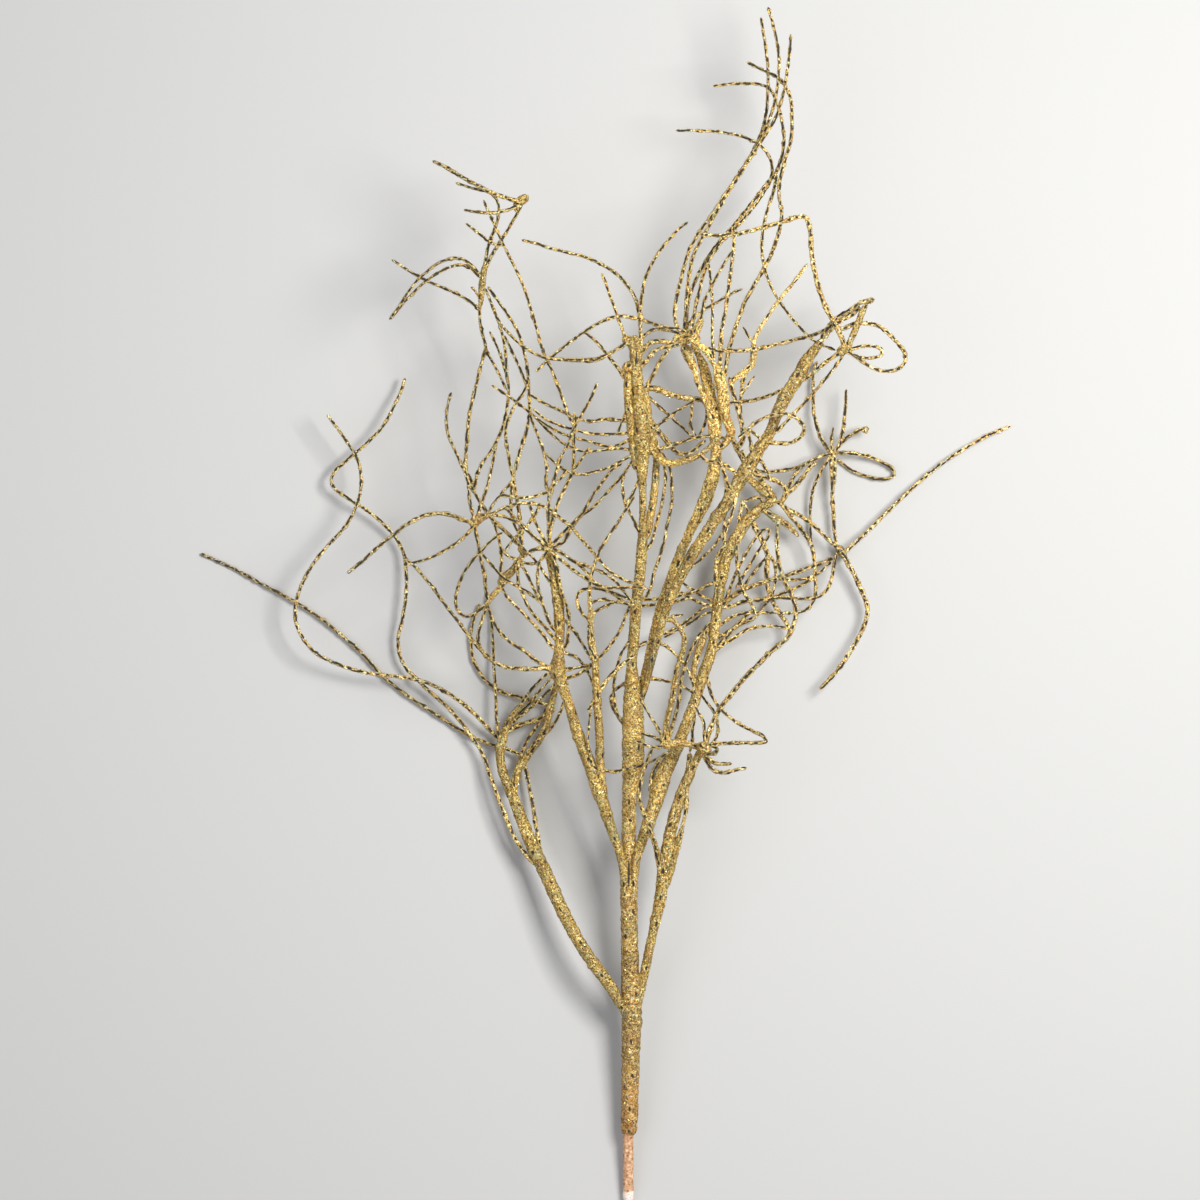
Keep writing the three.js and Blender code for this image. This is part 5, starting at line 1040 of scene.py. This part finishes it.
def raise_lumps(grid):
    """Adds the lumps to the relief: a few sine waves along and round the wire."""
    lumps = WRAP_LUMPS if grid.thick else TWIG_LUMPS
    for length in LUMP_LENGTHS:
        turns, phase = rng.integers(*LUMP_TURNS), rng.uniform(0, 2 * np.pi)
        wave = np.sin(2 * np.pi * grid.s / length + turns * grid.angle + phase)
        grid.relief += lumps * grid.radius * wave


def cut_furrows(wire, grid):
    """Takes the furrows between a branch's ridges off the relief. They lie where a sine wave round
    the wire is near nought. The wave turns slowly, and two waves along the wire make it wander. The
    deepest furrows are also painted near-black, as shade.
    """
    shown = np.clip((WRAP_ENDS[wire.branch] - grid.rows) * SHEET_STEP / RIDGES_GROW, 0, 1)
    ridges, front = rng.integers(*RIDGES), rng.uniform(*RIDGE_FRONT) * wire.length
    round_it = grid.angle - FRONT + 2 * np.pi * (grid.s - front) / TWIST
    for length in SWAY_LENGTHS:
        phase = rng.uniform(*SWAY_PHASES)
        round_it = round_it + RIDGE_SWAY * np.sin(2 * np.pi * grid.s / length + phase)
    furrow = (1 - abs(np.sin(ridges / 2 * round_it)))**2
    grid.relief -= RIDGE_DEPTH * grid.radius * shown * furrow
    grid.bark_and_shade += FURROW_SHADE * np.sqrt(shown) * furrow**3


def raise_buds(wire, grid):
    """Adds the buds to the relief: each is a bell curve along the wire, times a cosine round it."""
    bud, spacing = rng.uniform(*BUD_FIRST), BLOB_SPACING if grid.thick else BUD_SPACING
    while bud < wire.length - BUD_END:
        height, width = rng.uniform(*BUD_HEIGHT), rng.uniform(*BUD_WIDTH)
        facing = np.maximum(BUD_BACK, np.cos(grid.angle - rng.uniform(0, 2 * np.pi)))
        grid.relief += height * bell(grid.s - bud, width) * facing
        bud += rng.uniform(*spacing)


def sink_pits(wire, grid):
    """Takes the pits off the relief: each is a bell curve along the wire, times one round it."""
    pit, spacing = rng.uniform(*PIT_SPACING), HOLE_SPACING if grid.thick else PIT_SPACING
    while pit < wire.length:
        hole = bell(grid.s - pit, rng.uniform(*PIT_LENGTH))
        facing = rng.normal(FRONT, PIT_FACING)
        hole = hole * bell(grid.radius * apart(grid.angle, facing), PIT_WIDTH)
        grid.relief -= PIT_DEPTH * hole
        grid.bark_and_shade += PIT_BARK * hole
        pit += rng.uniform(*spacing)


def paint_seam_shade(grid):
    """Paints shade into the seam at the front of the stem, in the bark's near-black: a bell curve
    along it, times one round it.
    """
    seam = bell(grid.rows - SEAM_ROW, SEAM_ROWS)
    grid.bark_and_shade += SEAM_SHADE * seam * bell(grid.radius * apart(grid.angle, FRONT), SEAM_WIDTH)


def own_tint(wire, grid):
    """The tint along a wire: the stem's goes by the row, and any other's is mixed by thickness from a
    twig's and a wrap's, times what its branch makes of it, partly painted light, and times the
    painted light and shade of its place along x.
    """
    if wire is stem:
        places = -grid.rows[:, 0], np.negative(SHEATH_ROWS)
        return np.stack([np.interp(*places, tints) for tints in SHEATH_TINTS.T], 1)
    share = np.clip((grid.radius - TWIG_RADIUS) / (WRAP_RADIUS - TWIG_RADIUS), 0, 1)
    tint = (1 - share) * TWIG_TINT + share * WRAP_TINT
    tint = tint * BRANCH_TINTS_AND_LIGHT[wire.branch][int(grid.thick)]
    return tint * np.stack([np.interp(grid.centre[:, 0], PAINTED_LIGHT_PLACES, c) for c in PAINTED_LIGHT_ACROSS.T], 1)


def skin(wire):
    """The skin of one wire: its centre line, rings of points round it, and a tint at each point,
    whose fourth value is the share of glitter there; the rest is bare bark in the pits and painted
    shade in the furrows and the seam.

    A ring's points stand off the centre by the radius and the relief. The first and last rings
    draw in as a half circle, and no ring goes under the surface. The tint is the wire's own, times
    slow sine waves along it and a grain.
    """
    grid = skin_grid(wire)
    raise_lumps(grid)
    if grid.thick:
        cut_furrows(wire, grid)
    raise_buds(wire, grid)
    sink_pits(wire, grid)
    if wire is stem:
        paint_seam_shade(grid)
    to_end = np.minimum(grid.s, wire.length - grid.s) / grid.radius
    rounding = np.sqrt(np.clip(1 - (1 - np.minimum(to_end, 1))**2, END_SQUARE, 1))
    off = (grid.radius + grid.relief) * rounding
    rings = rings_round(grid.centre, off, grid.angle + 0 * grid.s)
    rings[..., 2] = np.maximum(rings[..., 2], 0)
    patch = sum(np.sin(2 * np.pi * grid.s / length + rng.uniform(0, 2 * np.pi))
                for length in PATCH_LENGTHS)
    change = 1 + PATCHES * patch + (0 if grid.thick else rng.normal(0, TWIG_SPREAD))
    grain = 1 + SPECKLE * rng.normal(size=(*off.shape, 1)) * SPECKLE_CAST
    tint = np.maximum((own_tint(wire, grid) * change)[:, None] * grain, DARKEST)
    return grid.centre, rings, np.dstack([tint, 1 - np.clip(grid.bark_and_shade, 0, 1)])


SLOTS = {name: "gold_glitter" for name in BRANCHES}
SLOTS["main_stem"] = "sheath_glitter"

# Film colours as they lie mixed on the branch, each from its place on a scale of 0 to 1.
FILM = [
    (0.00, (0.085, 0.045, 0.012)),
    (0.07, (0.260, 0.140, 0.026)),
    (0.21, (0.500, 0.305, 0.062)),
    (0.39, (0.790, 0.495, 0.150)),
    (0.60, (0.990, 0.740, 0.235)),
    (0.77, (1.000, 0.930, 0.490)),
    (0.91, (0.540, 0.510, 0.460)),
    (0.94, (0.200, 0.300, 0.240)),
    (0.96, (0.680, 0.220, 0.090)),
    (0.97, (1.000, 0.980, 0.820)),
]

# Patches of the branch that lean to another colour: it, the size of the patches, the noise from
# which a patch starts and is full, and how strong it is there.
GREEN_PATCHES = (0.40, 0.50, 0.34), 18 * MM, (0.58, 0.72), 0.4
BROWN_PATCHES = (0.46, 0.25, 0.07), 16 * MM, (0.54, 0.7), 0.5
BROWN_SHIFT = (0.5, 0.2, 0.1)    # so that they lie in other places than the green ones


def patched(nodes, links, place, color, patches):
    """A colour with patches of another colour over it."""
    cast, size, (start, full), strength = patches
    steps = [(start, (0, 0, 0)), (full, (strength,) * 3)]
    shown = color_ramp(nodes, links, noise(nodes, links, place, size), steps)
    return mixed(nodes, links, shown, color, cast)


def film_color(nodes, links, shade, place):
    """One film colour for each shade, with patches of the branch that lean to green or brown, and
    all of it multiplied by the tint of the place.
    """
    color = color_ramp(nodes, links, shade, FILM, flat=True)
    color = patched(nodes, links, place, color, GREEN_PATCHES)
    shifted = nodes.new("ShaderNodeVectorMath")
    shifted.inputs[1].default_value = BROWN_SHIFT
    links.new(place, shifted.inputs[0])
    color = patched(nodes, links, shifted.outputs["Vector"], color, BROWN_PATCHES)
    return mixed(nodes, links, 1.0, color, carried(nodes, "tint")["Color"], "MULTIPLY")


GRAIN_SIZE, GRAIN_HEIGHT = 0.85 * MM, 0.4 * MM
GRAIN_EDGE = 0.75                # how far from a grain's middle, in grains, it is down to nought
GRAIN_ROUGHNESS, GRAIN_METALLIC = 0.4, 0.3
# Near-black: bare bark in the pits, and painted shade in the furrows and the seam.
BARK_AND_SHADE = (0.030, 0.025, 0.012)
BARK_AND_SHADE_UNTIL, GLITTER_FROM = 0.35, 0.6   # shares of glitter below which only bark and painted shade show, and above which none of it shows


def glued_glitter():
    """Fine glitter in glue: uneven cells of film colours, each cell raised in its middle, and
    near-black where the share of glitter is low, which is bare bark in the pits and painted shade in
    the furrows and the seam.
    """
    material, nodes, links, shader = new_material("glued_glitter", GRAIN_ROUGHNESS, GRAIN_METALLIC)
    place = nodes.new("ShaderNodeTexCoord").outputs["Object"]
    cells = nodes.new("ShaderNodeTexVoronoi")
    cells.inputs["Scale"].default_value = 1 / GRAIN_SIZE
    links.new(place, cells.inputs["Vector"])
    split = nodes.new("ShaderNodeSeparateColor")
    links.new(cells.outputs["Color"], split.inputs["Color"])
    film = film_color(nodes, links, split.outputs["Red"], place)
    covered = color_ramp(nodes, links, carried(nodes, "tint")["Alpha"],
                         [(BARK_AND_SHADE_UNTIL, (0, 0, 0)), (GLITTER_FROM, (1, 1, 1))])
    links.new(mixed(nodes, links, covered, BARK_AND_SHADE, film), shader.inputs["Base Color"])
    middle = color_ramp(nodes, links, cells.outputs["Distance"],
                        [(0.0, (1, 1, 1)), (GRAIN_EDGE, (0, 0, 0))])
    bumped(nodes, links, shader, middle, GRAIN_HEIGHT)
    return material


glitter_skin = glued_glitter()
skins = {name: [skin(wire) for wire in wires if wire.branch == name] for name in BRANCHES}
for name in BRANCHES:
    dress(skin_mesh(name + "_skin", skins[name]), glitter_skin, SLOTS[name], name)


# ---- The glitter ---------------------------------------------------------------------------------
# The coarsest glitter is cut film, thrown on wet glue, so each chip lies at its own tilt and stands
# a little proud. A chip is a flat triangle on a short root that is sunk in the skin.
CHIPS_PER_MM2, CORE_CHIPS_PER_MM2 = 0.88, 0.2
CHIPS_IN_A_PIECE = 45000         # the most that one piece takes
CHIP_RADIUS = (0.31 * MM, 0.62 * MM)
CHIP_TILT = 0.5                  # spread of the direction that a chip faces
CHIP_LIFT = 0.06 * MM            # how far a chip stands proud of the skin
CHIP_ROOT = 0.35 * MM            # how deep its root is sunk
CHIP_ROUGHNESS, CHIP_METALLIC = 0.27, 0.55
BARE_SHARE = 0.75                # chips only stick where the share of glitter is above this
SMALL_CHIPS = 0.7                # size of the chips on the twigs, as a share of the others


def scatter(skins, density):
    """Where chips stick on some skins: the places, the way out of the wire at each, the skin's tint
    and the chip's size. The rings are drawn by the area round them, and a place is mixed from the
    four corners of its face by two random shares.
    """
    places, outward, tints, sizes = [], [], [], []
    for centre, rings, tint in skins:
        count, sides = rings.shape[:2]
        ahead = np.linalg.norm(np.diff(centre, axis=0), axis=1)
        girth = 2 * np.pi * np.linalg.norm(rings - centre[:, None], axis=2).mean(1)
        area = ahead * (girth[1:] + girth[:-1]) / 2
        number = int(density * area.sum() / MM**2)
        i = rng.choice(count - 1, number, p=area / area.sum())
        j = rng.integers(0, sides, number)
        k = (j + 1) % sides
        bare = np.minimum(np.minimum(tint[i, j, 3], tint[i, k, 3]),
                          np.minimum(tint[i + 1, j, 3], tint[i + 1, k, 3])) < BARE_SHARE
        i, j, k = i[~bare], j[~bare], k[~bare]
        u, v = rng.uniform(size=(2, len(i), 1))
        place = ((1 - u) * ((1 - v) * rings[i, j] + v * rings[i, k])
                 + u * ((1 - v) * rings[i + 1, j] + v * rings[i + 1, k]))
        places.append(place)
        outward.append(place - (1 - u) * centre[i] - u * centre[i + 1])
        tints.append(tint[i, j])
        scale = SMALL_CHIPS if sides == TWIG_SIDES else 1
        sizes.append(scale * rng.uniform(*CHIP_RADIUS, size=(len(i), 1)))
    out = np.concatenate(outward)
    out /= np.linalg.norm(out, axis=1)[:, None]
    return np.concatenate(places), out, np.concatenate(tints), np.concatenate(sizes)


def chips(name, skins, density, slot):
    """Chips all over some skins. A chip's three corners lie on a circle round a point just above
    the skin, which faces out with a random tilt, and its root lies straight under that point. Each
    chip carries a random shade and the skin's tint, the same at all its corners. Chips that would
    go under the surface are left out.
    """
    place, out, tint, size = scatter(skins, density)
    number = len(place)
    face = out + CHIP_TILT * rng.normal(size=(number, 3))
    face /= np.linalg.norm(face, axis=1)[:, None]
    side = np.cross(face, rng.normal(size=(number, 3)))
    side /= np.linalg.norm(side, axis=1)[:, None]
    other = np.cross(face, side)
    top = place + CHIP_LIFT * out
    turns = 2 * np.pi * np.arange(3) / 3
    corners = [top + size * (np.cos(turn) * side + np.sin(turn) * other) for turn in turns]
    points = np.stack([*corners, place - CHIP_ROOT * out], 1)
    clear = points[..., 2].min(axis=1) > 0
    points, tint = points[clear], tint[clear]
    number = len(points)
    shades = rng.uniform(size=number)
    faces = np.array([0, 1, 2, 0, 3, 1, 1, 3, 2, 2, 3, 0])
    parts = -(-number // CHIPS_IN_A_PIECE)
    for n, rows in enumerate(np.array_split(rng.permutation(number), parts)):
        loops = 4 * np.arange(len(rows))[:, None] + faces
        piece = make_mesh(f"{name}_glitter_{n + 1}", points[rows].reshape(-1, 3), loops.ravel(),
                          np.full(4 * len(rows), 3), False)
        shade = piece.data.attributes.new("shade", "FLOAT", "POINT")
        shade.data.foreach_set("value", np.repeat(shades[rows], 4).astype(np.float32))
        paint(piece, np.repeat(tint[rows], 4, axis=0))
        dress(piece, cut_film, slot)


def chip_film():
    """Bright metallised film, one colour to a chip."""
    material, nodes, links, shader = new_material("cut_film", CHIP_ROUGHNESS, CHIP_METALLIC)
    place = nodes.new("ShaderNodeTexCoord").outputs["Object"]
    shade = carried(nodes, "shade")["Fac"]
    links.new(film_color(nodes, links, shade, place), shader.inputs["Base Color"])
    return material


cut_film = chip_film()
chips("wound_core", [core], CORE_CHIPS_PER_MM2, "stem_tape")
for name in BRANCHES:
    chips(name, skins[name], CHIPS_PER_MM2, SLOTS[name])


# ---- Floor, light and camera ---------------------------------------------------------------------
# A wide pale floor, a large soft light at the upper right, a weaker one at the left, and a plain
# bright room. The camera looks straight down from far away.
FLOOR_HALF = 4.0
FLOOR_COLOR, FLOOR_ROUGHNESS = (0.5, 0.5, 0.495, 1), 0.9
ROOM_COLOR, ROOM_STRENGTH = (0.97, 0.98, 1, 1), 0.45
corners = FLOOR_HALF * np.array([(-1, -1, 0), (1, -1, 0), (1, 1, 0), (-1, 1, 0)])
floor_piece = make_mesh("floor", corners, np.arange(4), [4], False)
floor_material, _, _, shader = new_material("pale_floor", FLOOR_ROUGHNESS)
shader.inputs["Base Color"].default_value = FLOOR_COLOR
floor_piece.data.materials.append(floor_material)

world = bpy.data.worlds.new("studio")
bpy.context.scene.world = world
world.use_nodes = True
room = world.node_tree.nodes["Background"].inputs
room["Color"].default_value = ROOM_COLOR
room["Strength"].default_value = ROOM_STRENGTH


def soft_light(name, place, size, power, color):
    """A square area light at a place, turned to the middle of the floor."""
    light = bpy.data.lights.new(name, "AREA")
    light.shape, light.size, light.energy, light.color = "SQUARE", size, power, color
    lamp = bpy.data.objects.new(name, light)
    bpy.context.scene.collection.objects.link(lamp)
    lamp.location = place
    lamp.rotation_euler = (-Vector(place)).to_track_quat("-Z", "Y").to_euler()


soft_light("key_light", (0.85, 0.4, 1.65), 0.7, 44, (1.0, 0.985, 0.95))
soft_light("fill_light", (-1.5, -0.2, 2.0), 1.6, 12, (0.88, 0.9, 1.0))
bpy.context.scene.view_settings.view_transform = "Standard"

CAMERA_HEIGHT = 30.0
MIDDLE_HEIGHT = 60 * MM          # height of the plane that fills the picture exactly
PICTURE_SIDE = 1200              # columns and rows of the sheet that the picture shows
SENSOR_WIDTH = 36
SIGHT = 100                      # nothing further away than this shows
AIM = (0.2 * MM, 0.45 * MM)      # how far right and up of the sheet's own middle it looks
camera = bpy.data.cameras.new("camera")
camera.sensor_width = SENSOR_WIDTH
camera.lens = SENSOR_WIDTH * (CAMERA_HEIGHT - MIDDLE_HEIGHT) / (PICTURE_SIDE * SHEET_STEP)
camera.clip_end = SIGHT
eye = bpy.data.objects.new("camera", camera)
bpy.context.scene.collection.objects.link(eye)
eye.location = ((PICTURE_SIDE / 2 - SHEET_COLUMN) * SHEET_STEP + AIM[0],
                (SHEET_ROW - PICTURE_SIDE / 2) * SHEET_STEP + AIM[1], CAMERA_HEIGHT)
bpy.context.scene.camera = eye

bpy.context.view_layer.update()
